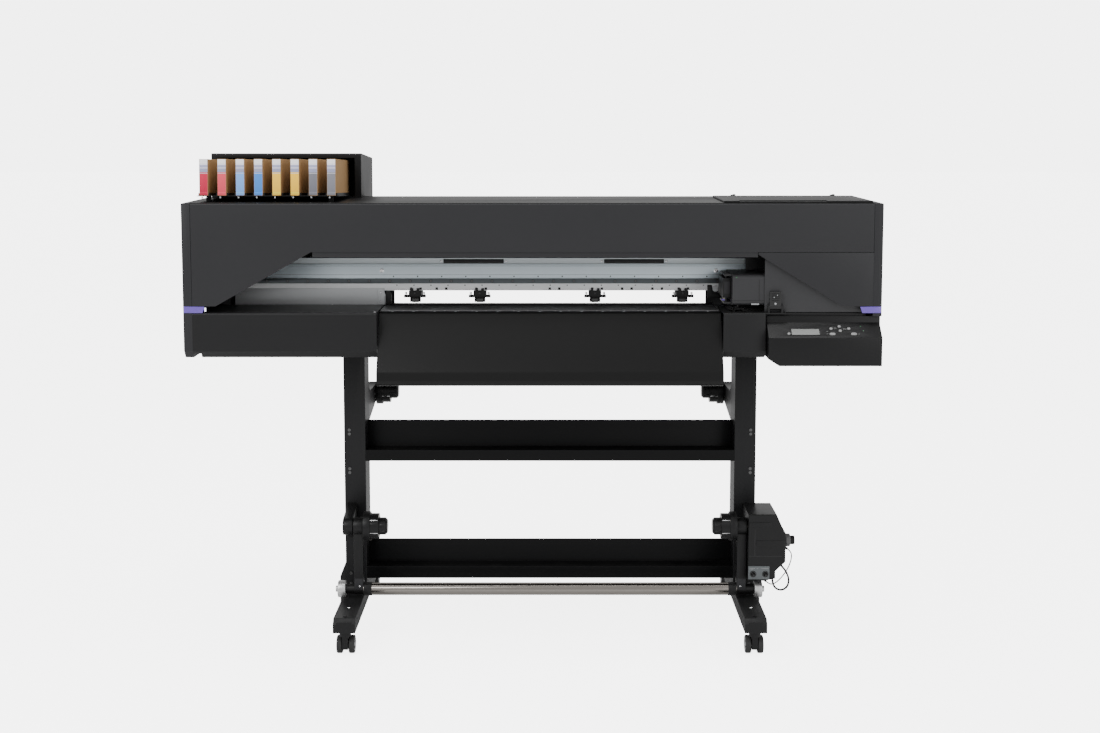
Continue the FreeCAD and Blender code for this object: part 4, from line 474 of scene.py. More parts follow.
COVER = Finish(
    "moulded_cover", "cover_black", (0.0195, 0.0195, 0.0215), roughness=0.44, spread=0.05, tint=0.08,
    grain=1100.0, bump=0.18, specular=0.26, wear_and_highlight=0.30, wear_and_highlight_color=(0.07, 0.07, 0.075), dust=0.03)
COVER_DARK = Finish(
    "dark_cover", "cover_black", (0.006, 0.006, 0.0065), roughness=0.42, spread=0.06, tint=0.12,
    grain=1100.0, bump=0.18, specular=0.22, wear_and_highlight=0.2, wear_and_highlight_color=(0.04, 0.04, 0.04), dust=0.02)
POWDER = Finish(
    "powder_coat", "frame_black", (0.0075, 0.0075, 0.0082), roughness=0.43, spread=0.06, tint=0.10,
    grain=600.0, bump=0.35, depth=0.0003, specular=0.24, wear_and_highlight=0.35, wear_and_highlight_color=(0.07, 0.07, 0.07),
    dust=0.05)
PLASTIC = Finish(
    "black_plastic", "dark_plastic", (0.0042, 0.0042, 0.0046), roughness=0.40, spread=0.06, tint=0.12,
    grain=1300.0, bump=0.15, specular=0.28, wear_and_highlight=0.25, wear_and_highlight_color=(0.05, 0.05, 0.05), dust=0.03)
GLOSS = Finish(
    "polished_plastic", "dark_plastic", (0.004, 0.004, 0.0045), roughness=0.22, spread=0.05, tint=0.1,
    coat=0.2, specular=0.35, bump=0.05, wear_and_highlight=0.1, dust=0.05)
LEVER = Finish(
    "lever_plastic", "dark_plastic", (0.0022, 0.0022, 0.0024), roughness=0.20, spread=0.04, tint=0.1,
    coat=0.3, specular=0.4, bump=0.05, wear_and_highlight=0.1, dust=0.02)
ALUMINIUM = Finish(
    "anodised_beam", "aluminium", (0.62, 0.70, 0.75), roughness=0.36, spread=0.06, tint=0.05,
    metallic=0.75, grain=900.0, bump=0.10, brush=Axis.X, wear_and_highlight=0.2, wear_and_highlight_color=(0.75, 0.77, 0.8),
    dust=0.03)
BAND = Finish(
    "painted_band", "aluminium", (0.72, 0.73, 0.74), roughness=0.45, spread=0.06, tint=0.06,
    metallic=0.25, grain=900.0, bump=0.1, brush=Axis.X, wear_and_highlight=0.2, wear_and_highlight_color=(0.7, 0.7, 0.7), dust=0.04)
RAIL = Finish(
    "blackened_rail", "steel", (0.075, 0.085, 0.09), roughness=0.32, spread=0.08, tint=0.1, metallic=0.85,
    grain=1000.0, bump=0.1, brush=Axis.X, wear_and_highlight=0.4, wear_and_highlight_color=(0.3, 0.31, 0.32), dust=0.02)
STEEL = Finish(
    "turned_steel", "steel", (0.27, 0.25, 0.23), roughness=0.17, spread=0.04, tint=0.08, metallic=1.0,
    grain=1600.0, bump=0.14, brush=Axis.X, wear_and_highlight=0.2, wear_and_highlight_color=(0.7, 0.68, 0.66), dust=0.03)
CHROME = Finish(
    "plated_steel", "steel", (0.72, 0.72, 0.73), roughness=0.13, spread=0.05, tint=0.04, metallic=1.0,
    bump=0.03, wear_and_highlight=0.1, wear_and_highlight_color=(0.8, 0.8, 0.8), dust=0.03)
WEIGHT = Finish(
    "brushed_weight", "steel", (0.62, 0.62, 0.62), roughness=0.34, spread=0.06, tint=0.06, metallic=0.85,
    grain=1400.0, bump=0.12, wear_and_highlight=0.2, wear_and_highlight_color=(0.7, 0.7, 0.7), dust=0.04)
PLATE = Finish(
    "light_plate", "light_metal", (0.40, 0.41, 0.42), roughness=0.42, spread=0.07, tint=0.06,
    metallic=0.6, grain=800.0, bump=0.12, brush=Axis.X, wear_and_highlight=0.2, wear_and_highlight_color=(0.6, 0.6, 0.6), dust=0.05)
PLATEN = Finish(
    "platen_metal", "light_metal", (0.085, 0.085, 0.088), roughness=0.38, spread=0.06, tint=0.08,
    metallic=0.5, grain=800.0, bump=0.15, brush=Axis.X, wear_and_highlight=0.4, wear_and_highlight_color=(0.4, 0.4, 0.4), dust=0.04)
APRON = Finish(
    "apron_sheet", "apron_black", (0.0040, 0.0040, 0.0040), roughness=0.34, spread=0.03, tint=0.05,
    grain=1500.0, bump=0.05, specular=0.22, wear_and_highlight=0.35, wear_and_highlight_color=(0.07, 0.07, 0.07), dust=0.02)
VIOLET = Finish(
    "violet_stripe", "accent", (0.135, 0.075, 0.43), roughness=0.34, spread=0.05, tint=0.08, coat=0.3,
    bump=0.06, wear_and_highlight=0.2, wear_and_highlight_color=(0.4, 0.35, 0.7), dust=0.03)
LAMP = Finish(
    "status_lamp", "accent", (0.9, 0.92, 1.0), roughness=0.3, spread=0.05, tint=0.03, bump=0.03, wear_and_highlight=0.0,
    dust=0.0, glow=2.2)
KRAFT = Finish(
    "kraft_board", "carton", (0.36, 0.215, 0.095), roughness=0.78, spread=0.07, tint=0.16, grain=420.0,
    bump=0.4, brush=Axis.Z, specular=0.25, wear_and_highlight=0.5, wear_and_highlight_color=(0.50, 0.36, 0.22), dust=0.05)
RUBBER = Finish(
    "black_rubber", "rubber", (0.012, 0.012, 0.012), roughness=0.62, spread=0.08, tint=0.2, grain=700.0,
    bump=0.35, depth=0.0003, wear_and_highlight=0.4, wear_and_highlight_color=(0.06, 0.06, 0.06), dust=0.22)
GREY_KEY = Finish(
    "grey_key", "key_grey", (0.27, 0.27, 0.27), roughness=0.42, spread=0.06, tint=0.05, bump=0.1,
    wear_and_highlight=0.25, wear_and_highlight_color=(0.65, 0.65, 0.65), dust=0.03)
SWITCH_PLATE = Finish(
    "switch_plate", "dark_plastic", (0.105, 0.115, 0.12), roughness=0.4, spread=0.06, tint=0.08,
    metallic=0.4, bump=0.1, brush=Axis.X, wear_and_highlight=0.3, wear_and_highlight_color=(0.35, 0.36, 0.37), dust=0.06)
JACKET = Finish(
    "cable_jacket", "cable", (0.010, 0.010, 0.010), roughness=0.48, spread=0.07, tint=0.15, grain=1500.0,
    bump=0.15, wear_and_highlight=0.15, wear_and_highlight_color=(0.05, 0.05, 0.05), dust=0.10)
# Cover plastic made lighter than the outer covers: a painted highlight for the lit recessed inner wall.
INNER_LIT = Finish(
    "inner_sheet", "cover_black", (0.030, 0.030, 0.032), roughness=0.34, spread=0.05, tint=0.08,
    grain=1100.0, bump=0.15, specular=0.35, wear_and_highlight=0.25, wear_and_highlight_color=(0.07, 0.07, 0.07), dust=0.02)
CARRIAGE_GREY = Finish(
    "carriage_cover", "dark_plastic", (0.030, 0.030, 0.032), roughness=0.42, spread=0.05, tint=0.08,
    grain=1200.0, bump=0.15, specular=0.3, wear_and_highlight=0.25, wear_and_highlight_color=(0.07, 0.07, 0.07), dust=0.02)
COVER_LOW = Finish(
    "lower_cover", "cover_black", (0.0092, 0.0092, 0.0098), roughness=0.44, spread=0.05, tint=0.08,
    grain=1100.0, bump=0.18, specular=0.24, wear_and_highlight=0.25, wear_and_highlight_color=(0.05, 0.05, 0.05), dust=0.03)
PANEL_BLACK = Finish(
    "panel_black", "dark_plastic", (0.0048, 0.0048, 0.0052), roughness=0.40, spread=0.05, tint=0.10,
    grain=1200.0, bump=0.15, specular=0.24, wear_and_highlight=0.25, wear_and_highlight_color=(0.05, 0.05, 0.05), dust=0.02)
BEAM_COAT = Finish(
    "beam_coat", "frame_black", (0.0022, 0.0022, 0.0025), roughness=0.42, spread=0.04, tint=0.06,
    grain=1300.0, bump=0.12, depth=0.0003, specular=0.14, wear_and_highlight=0.35, wear_and_highlight_color=(0.05, 0.05, 0.05),
    dust=0.03)
STRIP = Finish(
    "upper_strip", "aluminium", (0.46, 0.50, 0.52), roughness=0.42, spread=0.06, tint=0.06, metallic=0.6,
    grain=900.0, bump=0.1, brush=Axis.X, wear_and_highlight=0.2, wear_and_highlight_color=(0.6, 0.6, 0.6), dust=0.04)
STEEL_DARK = Finish(
    "dark_screw", "steel", (0.10, 0.10, 0.10), roughness=0.35, spread=0.07, tint=0.1, metallic=0.9,
    bump=0.08, wear_and_highlight=0.3, wear_and_highlight_color=(0.35, 0.35, 0.35), dust=0.04)
RING_GREY = Finish(
    "ring_grey", "dark_plastic", (0.085, 0.085, 0.085), roughness=0.40, spread=0.06, tint=0.08, bump=0.15,
    wear_and_highlight=0.3, wear_and_highlight_color=(0.3, 0.3, 0.3), dust=0.05)
RUBBER_GREY = Finish(
    "grey_rubber", "rubber", (0.07, 0.07, 0.07), roughness=0.60, spread=0.06, tint=0.15, grain=900.0,
    bump=0.25, wear_and_highlight=0.3, wear_and_highlight_color=(0.16, 0.16, 0.16), dust=0.06)
KRAFT_DARK = Finish(
    "kraft_seam", "carton", (0.17, 0.10, 0.045), roughness=0.8, spread=0.05, tint=0.15, grain=420.0,
    bump=0.2, brush=Axis.Z, wear_and_highlight=0.2, wear_and_highlight_color=(0.3, 0.2, 0.1), dust=0.03)
LAMP_GREEN = Finish(
    "lamp_lens", "accent", (0.05, 0.16, 0.07), roughness=0.25, spread=0.05, tint=0.05, coat=0.5,
    bump=0.03, wear_and_highlight=0.0, dust=0.0, glow=0.02)
SCREEN = DotFinish(
    "display_glass", "dark_plastic", (0.11, 0.115, 0.11), roughness=0.22, spread=0.04, tint=0.04,
    coat=0.5, bump=0.02, wear_and_highlight=0.0, dust=0.02)


# ---------------------------------------------------------------- mesh making
class Shape:
    """A mesh under construction; every method adds to it and returns it."""

    def __init__(self) -> None:
        """Starts with nothing."""
        self.bm = bmesh.new()

    def _round(self, verts: Iterable[bmesh.types.BMVert], width: float, segments: int) -> None:
        """Rounds every edge between the given vertices.

        Args:
            verts: vertices that the edges join.
            width: width of the rounding, metres.
            segments: faces across a rounded edge.
        """
        chosen = set(verts)
        edges = [e for e in self.bm.edges if e.verts[0] in chosen and e.verts[1] in chosen]
        bmesh.ops.bevel(self.bm, geom=edges, offset=width, segments=segments, profile=0.6, affect="EDGES",
                        clamp_overlap=True)

    def box(self, low: Sequence[float], high: Sequence[float], edge: float = 0.0006,
            segments: int = 2) -> "Shape":
        """Adds a box with rounded edges.

        Args:
            low: lowest corner in metres.
            high: highest corner in metres.
            edge: width of the rounding.
            segments: steps across the rounding.

        Returns:
            This shape.
        """
        a, b = Vector(low), Vector(high)
        made = bmesh.ops.create_cube(self.bm, size=1.0)
        for vert in made["verts"]:
            vert.co = Vector([a[i] if vert.co[i] < 0 else b[i] for i in range(3)])
        if edge > 0:
            self._round(made["verts"],
                        min(edge, 0.45 * min(abs(b[i] - a[i]) for i in range(3))), segments)
        return self

    def prism(self, outline: Outline, axis: Axis, start: float, end: float,
              edge: float = 0.0006) -> "Shape":
        """Adds a prism along an axis with rounded edges.

        Args:
            outline: corners in the two other axes, in order round the shape.
            axis: the direction of extrusion.
            start: where it starts along the axis.
            end: where it ends.
            edge: width of the rounding.

        Returns:
            This shape.
        """
        u, v = axis.others()
        rings = []
        for level in (start, end):
            ring = []
            for p, q in outline:
                place = Vector(ORIGIN)
                place[axis.value], place[u], place[v] = level, p, q
                ring.append(self.bm.verts.new(place))
            rings.append(ring)
        first = self.bm.faces.new(rings[0])
        last = self.bm.faces.new(rings[1][::-1])
        count = len(outline)
        sides = [self.bm.faces.new((rings[0][i], rings[1][i], rings[1][(i + 1) % count],
                                    rings[0][(i + 1) % count])) for i in range(count)]
        bmesh.ops.recalc_face_normals(self.bm, faces=[first, last, *sides])
        if edge > 0:
            self._round(rings[0] + rings[1], edge, 2)
        return self

    def lathe(self, profile: Outline, axis: Axis, centre: Point, steps: int = 48) -> "Shape":
        """Adds a turned body.

        Args:
            profile: (distance along the axis, radius) pairs; a radius of zero closes an end.
            axis: the turning axis's direction.
            centre: a point on the axis, from which distances along it count.
            steps: sides round the body.

        Returns:
            This shape.
        """
        u, v = axis.others()
        rings = []
        for along, radius in profile:
            ring = []
            for i in range(1 if radius <= 0 else steps):
                angle = 2 * math.pi * i / steps
                place = Vector(centre)
                place[axis.value] += along
                place[u] += radius * math.cos(angle)
                place[v] += radius * math.sin(angle)
                ring.append(self.bm.verts.new(place))
            rings.append(ring)
        faces = []
        for near, far in zip(rings, rings[1:]):
            for i in range(steps):
                corners = [near[i % len(near)], far[i % len(far)], far[(i + 1) % len(far)],
                           near[(i + 1) % len(near)]]
                unique = list(dict.fromkeys(corners))
                if len(unique) > 2:
                    faces.append(self.bm.faces.new(unique))
        bmesh.ops.recalc_face_normals(self.bm, faces=faces)
        return self

    def ring(self, profile: Outline, axis: Axis, centre: Point, steps: int = 48) -> "Shape":
        """Adds a turned ring: as lathe, with the profile joined end to end.

        Args:
            profile: places along the axis and radii, in order.
            axis: axis of the ring.
            centre: origin of the profile.
            steps: faces round the ring.

        Returns:
            The same shape.
        """
        return self.lathe(list(profile) + [profile[0]], axis, centre, steps)

    def tube(self, points: Sequence[Vector], radius: float, sides: int = 10) -> "Shape":
        """Adds a round bar along points, closed at its ends.

        Args:
            points: middle line of the bar.
            radius: radius of the bar, metres.
            sides: faces round the bar.

        Returns:
            The same shape.
        """
        rings = []
        side = Vector((0.0, 0.0, 1.0))
        for i, point in enumerate(points):
            ahead = (points[min(i + 1, len(points) - 1)] - points[max(i - 1, 0)]).normalized()
            if abs(ahead.dot(side)) > 0.95:
                side = Vector((0.0, 1.0, 0.0)) if abs(ahead.y) < 0.9 else Vector((1.0, 0.0, 0.0))
            across = ahead.cross(side).normalized()
            side = across.cross(ahead).normalized()
            rings.append([self.bm.verts.new(point + (across * math.cos(a) + side * math.sin(a)) * radius)
                          for a in (2 * math.pi * k / sides for k in range(sides))])
        faces = [self.bm.faces.new(rings[0]), self.bm.faces.new(rings[-1][::-1])]
        for near, far in zip(rings, rings[1:]):
            for i in range(sides):
                faces.append(self.bm.faces.new((near[i], far[i], far[(i + 1) % sides],
                                                near[(i + 1) % sides])))
        bmesh.ops.recalc_face_normals(self.bm, faces=faces)
        return self

    def take(self, other: "Shape") -> "Shape":
        """Adds another shape's mesh to this one and frees the other.

        Args:
            other: shape to add; it can't be used afterwards.

        Returns:
            The same shape.
        """
        mesh = bpy.data.meshes.new("part")
        other.bm.to_mesh(mesh)
        other.bm.free()
        self.bm.from_mesh(mesh)
        bpy.data.meshes.remove(mesh)
        return self

    def turned(self, degrees: float, axis: Axis, centre: Point) -> "Shape":
        """Turns everything made so far about an axis through a point.

        Args:
            degrees: angle of the turn.
            axis: axis of the turn.
            centre: point on the axis.

        Returns:
            The same shape.
        """
        matrix = Matrix.Rotation(math.radians(degrees), 4, axis.name)
        place = Matrix.Translation(Vector(centre))
        bmesh.ops.transform(self.bm, matrix=place @ matrix @ place.inverted(), verts=self.bm.verts)
        return self

    def moved(self, offset: Sequence[float]) -> "Shape":
        """Moves everything made so far.

        Args:
            offset: distances along X, Y and Z, metres.

        Returns:
            The same shape.
        """
        bmesh.ops.translate(self.bm, vec=Vector(offset), verts=self.bm.verts)
        return self

    def piece(self, name: str, finish: Finish, body: str = ROOT,
              smooth: float = 32.0) -> bpy.types.Object:
        """Finishes the mesh as a piece of the object.

        Args:
            name: the piece's name.
            finish: its finish.
            body: the CAD body it rides on.
            smooth: faces that meet at less than this many degrees shade smoothly.

        Returns:
            The new object.
        """
        mesh = bpy.data.meshes.new(name)
        self.bm.to_mesh(mesh)
        self.bm.free()
        mesh.shade_smooth()
        mesh.set_sharp_from_angle(angle=math.radians(smooth))
        made = bpy.data.objects.new(name, mesh)
        bpy.context.scene.collection.objects.link(made)
        mesh.materials.append(finish.material())
        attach(made, body)
        LOG.info("piece %s on %s", name, body)
        return made


class CadCopy:
    """Copies of a CAD node's mesh, with softened edges, that stand for the node."""

    def __init__(self, node: str) -> None:
        """Reads the node's mesh and splits it into its separate solids, ordered by X.

        Args:
            node: name of the CAD node.
        """
        self.node = node
        self.body = frame["nodes"][node]["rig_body"]
        self.made: list[bpy.types.Object] = []
        whole = bmesh.new()
        whole.from_mesh(frame["nodes"][node].data)
        bmesh.ops.remove_doubles(whole, verts=whole.verts, dist=1e-6)
        self.islands = self._split(whole)
        whole.free()

    @staticmethod
    def _split(whole: bmesh.types.BMesh) -> list[bmesh.types.BMesh]:
        """Separate connected parts as meshes of their own, ordered by their lowest X, then Z.

        Args:
            whole: mesh to part.

        Returns:
            The separate meshes.
        """
        seen: set[int] = set()
        groups = []
        whole.verts.ensure_lookup_table()
        for start in whole.verts:
            if start.index in seen:
                continue
            stack, group = [start], []
            seen.add(start.index)
            while stack:
                vert = stack.pop()
                group.append(vert)
                for edge in vert.link_edges:
                    other = edge.other_vert(vert)
                    if other.index not in seen:
                        seen.add(other.index)
                        stack.append(other)
            groups.append(group)
        parts = []
        for group in groups:
            part = bmesh.new()
            places = {vert: part.verts.new(vert.co) for vert in group}
            for face in {f for vert in group for f in vert.link_faces}:
                part.faces.new([places[vert] for vert in face.verts])
            parts.append(part)
        parts.sort(key=lambda p: (round(min(v.co.x for v in p.verts), 3),
                                  round(min(v.co.z for v in p.verts), 3)))
        return parts

    def dress(self, finish: Finish, edge: float = 0.001, index: Optional[int] = None, name: str = "",
              segments: int = 2) -> bpy.types.Object:
        """Makes a softened piece of one solid, or of all of them.

        Args:
            finish: its finish.
            edge: width of the softened edges, 0 for none.
            index: which solid, or None for all.
            name: the piece's name, from the node if empty.
            segments: steps across a softened edge.

        Returns:
            The new object.
        """
        shape = Shape()
        for i, island in enumerate(self.islands):
            if index is None or i == index:
                mesh = bpy.data.meshes.new("solid")
                island.to_mesh(mesh)
                shape.bm.from_mesh(mesh)
                bpy.data.meshes.remove(mesh)
        bmesh.ops.recalc_face_normals(shape.bm, faces=shape.bm.faces)
        if edge > 0:
            bmesh.ops.dissolve_limit(shape.bm, angle_limit=math.radians(0.5), verts=shape.bm.verts,
                                     edges=shape.bm.edges)
            sharp = [e for e in shape.bm.edges
                     if len(e.link_faces) == 2 and e.calc_face_angle(0.0) > math.radians(28)
                     and e.calc_length() > 2.2 * edge]
            bmesh.ops.bevel(shape.bm, geom=sharp, offset=edge, segments=segments, profile=0.6,
                            affect="EDGES", clamp_overlap=True)
        piece = shape.piece(name or self.node + "_shell", finish, self.body)
        self.made.append(piece)
        return piece

    def done(self) -> None:
        """Hides the node, so that the pieces made so far stand for it."""
        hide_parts(self.node)


def soften(node: str, finish: Finish, edge: float = 0.001, segments: int = 2) -> bpy.types.Object:
    """A softened copy of a whole CAD node, which stands for it.

    Args:
        node: name of the CAD node.
        finish: finish of the copy.
        edge: radius of the softened edges, metres.
        segments: faces across a softened edge.

    Returns:
        The finished piece.
    """
    copy = CadCopy(node)
    piece = copy.dress(finish, edge, segments=segments)
    copy.done()
    return piece


def screw_head(shape: Shape, place: Point, axis: Axis, side: float, radius: float = 0.004) -> Shape:
    """Adds a pan head with a drive recess, facing side along the axis.

    Args:
        shape: mesh that the head is added to.
        place: centre of the head's seat.
        axis: axis of the screw.
        side: which way the head faces, 1 or -1.
        radius: radius of the head, metres.

    Returns:
        The same shape.
    """
    height = radius * 0.55
    profile = [(0.0, radius), (side * height * 0.6, radius), (side * height, radius * 0.7),
               (side * height, radius * 0.36), (side * height * 0.45, radius * 0.3),
               (side * height * 0.4, 0.0)]
    return shape.lathe(profile, axis, place, 16)


def shade(piece: bpy.types.Object,
          choose: Callable[[Vector, Vector], Optional[Finish]]) -> bpy.types.Object:
    """Gives some faces of a piece another finish.

    Args:
        piece: the piece, whose first material covers every other face.
        choose: from a face's middle and normal, its finish or None to leave it.

    Returns:
        The piece.
    """
    slots: dict[str, int] = {}
    for face in piece.data.polygons:
        finish = choose(face.center, face.normal)
        if finish is None:
            continue
        if finish.name not in slots:
            piece.data.materials.append(finish.material())
            slots[finish.name] = len(piece.data.materials) - 1
        face.material_index = slots[finish.name]
    return piece


def span(island: bmesh.types.BMesh, axis: Axis) -> float:
    """How far a mesh reaches along an axis.

    Args:
        island: mesh to measure.
        axis: axis to measure along.

    Returns:
        The distance, metres.
    """
    places = [vert.co[axis.value] for vert in island.verts]
    return max(places) - min(places)


def ride_body(node: str) -> str:
    """The body that a CAD node rides on.

    Args:
        node: name of the CAD node.

    Returns:
        The body's name in the frame.
    """
    return frame["nodes"][node]["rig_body"]


def corners(node: str) -> tuple[Vector, Vector]:
    """A node's lowest and highest corners.

    Args:
        node: name of the CAD node.

    Returns:
        The lowest and the highest corner, metres.
    """
    low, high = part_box(node)
    return Vector(low), Vector(high)


def between(start: float, end: float, count: int) -> list[float]:
    """Evenly spaced values from start to end, both included.

    Args:
        start: first value.
        end: last value.
        count: how many values.

    Returns:
        The values in order.
    """
    return [start + (end - start) * i / (count - 1) for i in range(count)]


# ---------------------------------------------------------------- studio
@dataclass
class Studio:
    """Camera, floor, world and lamps."""

    place: Point = (0.0495, -4.511, 1.525)
    pitch: float = 5.59
    lens: float = 49.3
    shift: float = -0.09
    floor: float = 40.0
    ambient: float = 0.85
    backdrop: float = 5.2
    glow: float = 4.6

    def camera(self) -> None:
        """Sets the camera in front of the machine's middle, a little above it."""
        data = bpy.data.cameras.new("camera")
        data.lens = self.lens
        data.sensor_width = 36.0
        data.shift_y = self.shift
        data.clip_end = 200.0
        made = bpy.data.objects.new("camera", data)
        made.location = self.place
        made.rotation_euler = (math.radians(90.0 - self.pitch), 0.0, 0.0)
        bpy.context.scene.collection.objects.link(made)
        bpy.context.scene.camera = made

    @staticmethod
    def seen(tree: bpy.types.NodeTree, direct: float, other: float) -> object:
        """A value that is one number when looked at directly and another for bounced light.

        Args:
            tree: node tree that the nodes go in.
            direct: value for the camera.
            other: value for bounced light.

        Returns:
            The value socket.
        """
        path = tree.nodes.new("ShaderNodeLightPath")
        value = Effects.math(tree, "MULTIPLY_ADD", path.outputs["Is Camera Ray"], direct - other)
        value.node.inputs[2].default_value = other
        return value

    def ground(self) -> None:
        """Lays the pale floor."""
        mesh = bpy.data.meshes.new("studio_floor")
        half = self.floor
        mesh.from_pydata([(-half, -half, 0), (half, -half, 0), (half, half, 0), (-half, half, 0)], [],
                         [(0, 1, 2, 3)])
        made = bpy.data.objects.new("studio_floor", mesh)
        bpy.context.scene.collection.objects.link(made)
        paper = bpy.data.materials.new("floor_paper")
        paper.use_nodes = True
        shader = paper.node_tree.nodes["Principled BSDF"]
        shader.inputs["Base Color"].default_value = (0.90, 0.90, 0.90, 1.0)
        shader.inputs["Roughness"].default_value = 0.9
        shader.inputs["Specular IOR Level"].default_value = 0.1
        shader.inputs["Emission Color"].default_value = (1.0, 1.0, 1.0, 1.0)
        paper.node_tree.links.new(self.seen(paper.node_tree, self.glow, 0.0),
                                  shader.inputs["Emission Strength"])
        mesh.materials.append(paper)

    def lamp(self, name: str, place: Point, aim: Point, size: tuple[float, float], power: float) -> None:
        """Adds a soft rectangular lamp.

        Args:
            name: the lamp's name.
            place: where it is.
            aim: the point it faces.
            size: its width and height.
            power: its power in watts.
        """
        data = bpy.data.lights.new(name, "AREA")
        data.shape = "RECTANGLE"
        data.size, data.size_y = size
        data.energy = power
        made = bpy.data.objects.new(name, data)
        made.location = place
        made.rotation_euler = (Vector(aim) - Vector(place)).to_track_quat("-Z", "Y").to_euler()
        bpy.context.scene.collection.objects.link(made)

    def build(self) -> None:
        """Sets up the whole studio."""
        self.camera()
        self.ground()
        world = bpy.data.worlds.new("studio")
        bpy.context.scene.world = world
        world.use_nodes = True
        back = world.node_tree.nodes["Background"]
        back.inputs["Color"].default_value = (1.0, 1.0, 1.0, 1.0)
        world.node_tree.links.new(self.seen(world.node_tree, self.backdrop, self.ambient),
                                  back.inputs["Strength"])
        self.lamp("key", (-2.6, -3.6, 3.6), (0.0, 0.0, 0.9), (2.4, 2.4), 110.0)
        self.lamp("fill", (3.2, -3.4, 1.8), (0.2, 0.0, 0.8), (2.0, 2.6), 45.0)
        self.lamp("top", (0.0, -0.6, 4.2), (0.0, -0.1, 1.0), (3.4, 1.6), 70.0)
        LOG.info("studio ready")


# ---------------------------------------------------------------- loose leads
@dataclass
class LooseLead:
    """A short lead that hangs in a loop beside the motor unit."""

    node: str
    route: tuple[Point, ...]
    diameter: float
    length: float

    def build(self) -> None:
        curve = bpy.data.curves.new(self.node + "_line", "CURVE")
        curve.dimensions = "3D"
        spline = curve.splines.new("NURBS")
        spline.points.add(len(self.route) - 1)
        for point, place in zip(spline.points, self.route):
            point.co = (*place, 1.0)
        spline.order_u = 3
        spline.use_endpoint_u = True
        spline.resolution_u = 10
        curve.bevel_depth = self.diameter / 2
        curve.bevel_resolution = 5
        curve.materials.append(JACKET.material())
        made = bpy.data.objects.new(self.node + "_jacket", curve)
        bpy.context.scene.collection.objects.link(made)
        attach(made, ROOT)
        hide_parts(self.node)
        LOG.info("lead %s", self.node)


CABLE = LooseLead("takeup_cable", (
    (0.7275, -0.165, 0.2205), (0.741, -0.166, 0.2063), (0.7515, -0.168, 0.189), (0.756, -0.1695, 0.1695),
    (0.751, -0.1685, 0.1505), (0.7355, -0.166, 0.1395), (0.7175, -0.164, 0.144), (0.708, -0.1625, 0.1605),
    (0.707, -0.162, 0.181)), 0.006, 0.1536)
LEAD = LooseLead("sensor_lead", (
    (0.747, -0.186, 0.271), (0.757, -0.1865, 0.264), (0.760, -0.187, 0.248), (0.755, -0.1875, 0.226),
    (0.744, -0.188, 0.204), (0.7295, -0.1875, 0.184), (0.7135, -0.187, 0.1685), (0.697, -0.1865, 0.163),
    (0.6855, -0.186, 0.1735)), 0.0035, 0.1531)


# ---------------------------------------------------------------- covers
@dataclass
class Covers:
    """Moulded covers, end caps, lids and stripes."""

    edge: float = 0.0022
    thin_edge: float = 0.0012
    vent_rows: int = 9
    vent_span: float = 0.16
    vent_pitch: float = 0.012

    def shells(self) -> None:
        """Softened copies of the covers."""
        soften("front_cover", COVER, self.thin_edge)
        soften("hood_top", COVER_DARK, self.edge)
        soften("top_lid", COVER_DARK, self.thin_edge)
        soften("right_cover", COVER, self.thin_edge)
        # The inner wall takes the lighter cover plastic: a painted highlight.
        soften("inner_cover", INNER_LIT, 0.0008)
        soften("lower_left_cover", COVER_LOW, self.edge)
        soften("lower_right_cover", COVER_LOW, self.edge)
        soften("end_caps", COVER, self.edge)
        soften("back_cover", COVER, self.thin_edge)

    def stripes(self) -> None:
        """Stripes with a pale lens at the left one's tip."""
        soften("accent_stripes", VIOLET, 0.0006)
        low, high = corners("accent_stripes")
        x = low.x + 0.0605
        shape = Shape().box((x - 0.0005, low.y + 0.0002, low.z + 0.004),
                            (x + 0.0035, low.y + 0.0028, high.z - 0.004), 0.0007)
        shape.piece("stripe_lens", LAMP)

    def vents(self) -> None:
        """Rows of cooling slots on the back, drawn as dark strips of painted shade, and its two sockets.
        """
        _, high = corners("back_cover")
        # Each slot is a dark strip laid on the cover: painted shade of the opening.
        shape = Shape()
        for centre in (-0.62, 0.70):
            for row in range(self.vent_rows):
                z = high.z - 0.10 - row * self.vent_pitch
                shape.box((centre - self.vent_span / 2, high.y - 0.0009, z),
                          (centre + self.vent_span / 2, high.y - 0.0001, z + 0.0045), 0.0004)
        shape.piece("rear_vents", GLOSS)
        sockets = Shape()
        sockets.box((-0.615, high.y - 0.003, 0.932), (-0.597, high.y - 0.0002, 0.950), 0.0006)
        sockets.box((-0.585, high.y - 0.003, 0.930), (-0.566, high.y - 0.0002, 0.952), 0.0006)
        sockets.piece("rear_sockets", PLATE)
        inner = Shape()
        inner.box((-0.612, high.y - 0.0012, 0.936), (-0.600, high.y - 0.0001, 0.947), 0.0004)
        inner.box((-0.582, high.y - 0.0012, 0.934), (-0.569, high.y - 0.0001, 0.948), 0.0004)
        inner.piece("rear_socket_mouths", PLASTIC)

    def marks(self) -> None:
        """Small screw on the deck and pads that the front cover closes on."""
        shape = Shape()
        screw_head(shape, (-0.4455, -0.2935, 0.9852), Axis.Z, 1.0, 0.0045)
        shape.piece("deck_screw", CHROME)
        low, _ = corners("front_cover")
        pads = Shape()
        for x in (-0.60, -0.2, 0.2, 0.60):
            pads.box((x - 0.008, low.y + 0.0055, low.z + 0.1585),
                     (x + 0.008, low.y + 0.0095, low.z + 0.1615), 0.0008)
        pads.piece("cover_pads", RUBBER, "front_cover")

    def build(self) -> None:
        """Builds every part of the covers."""
        self.shells()
        self.stripes()
        self.vents()
        self.marks()


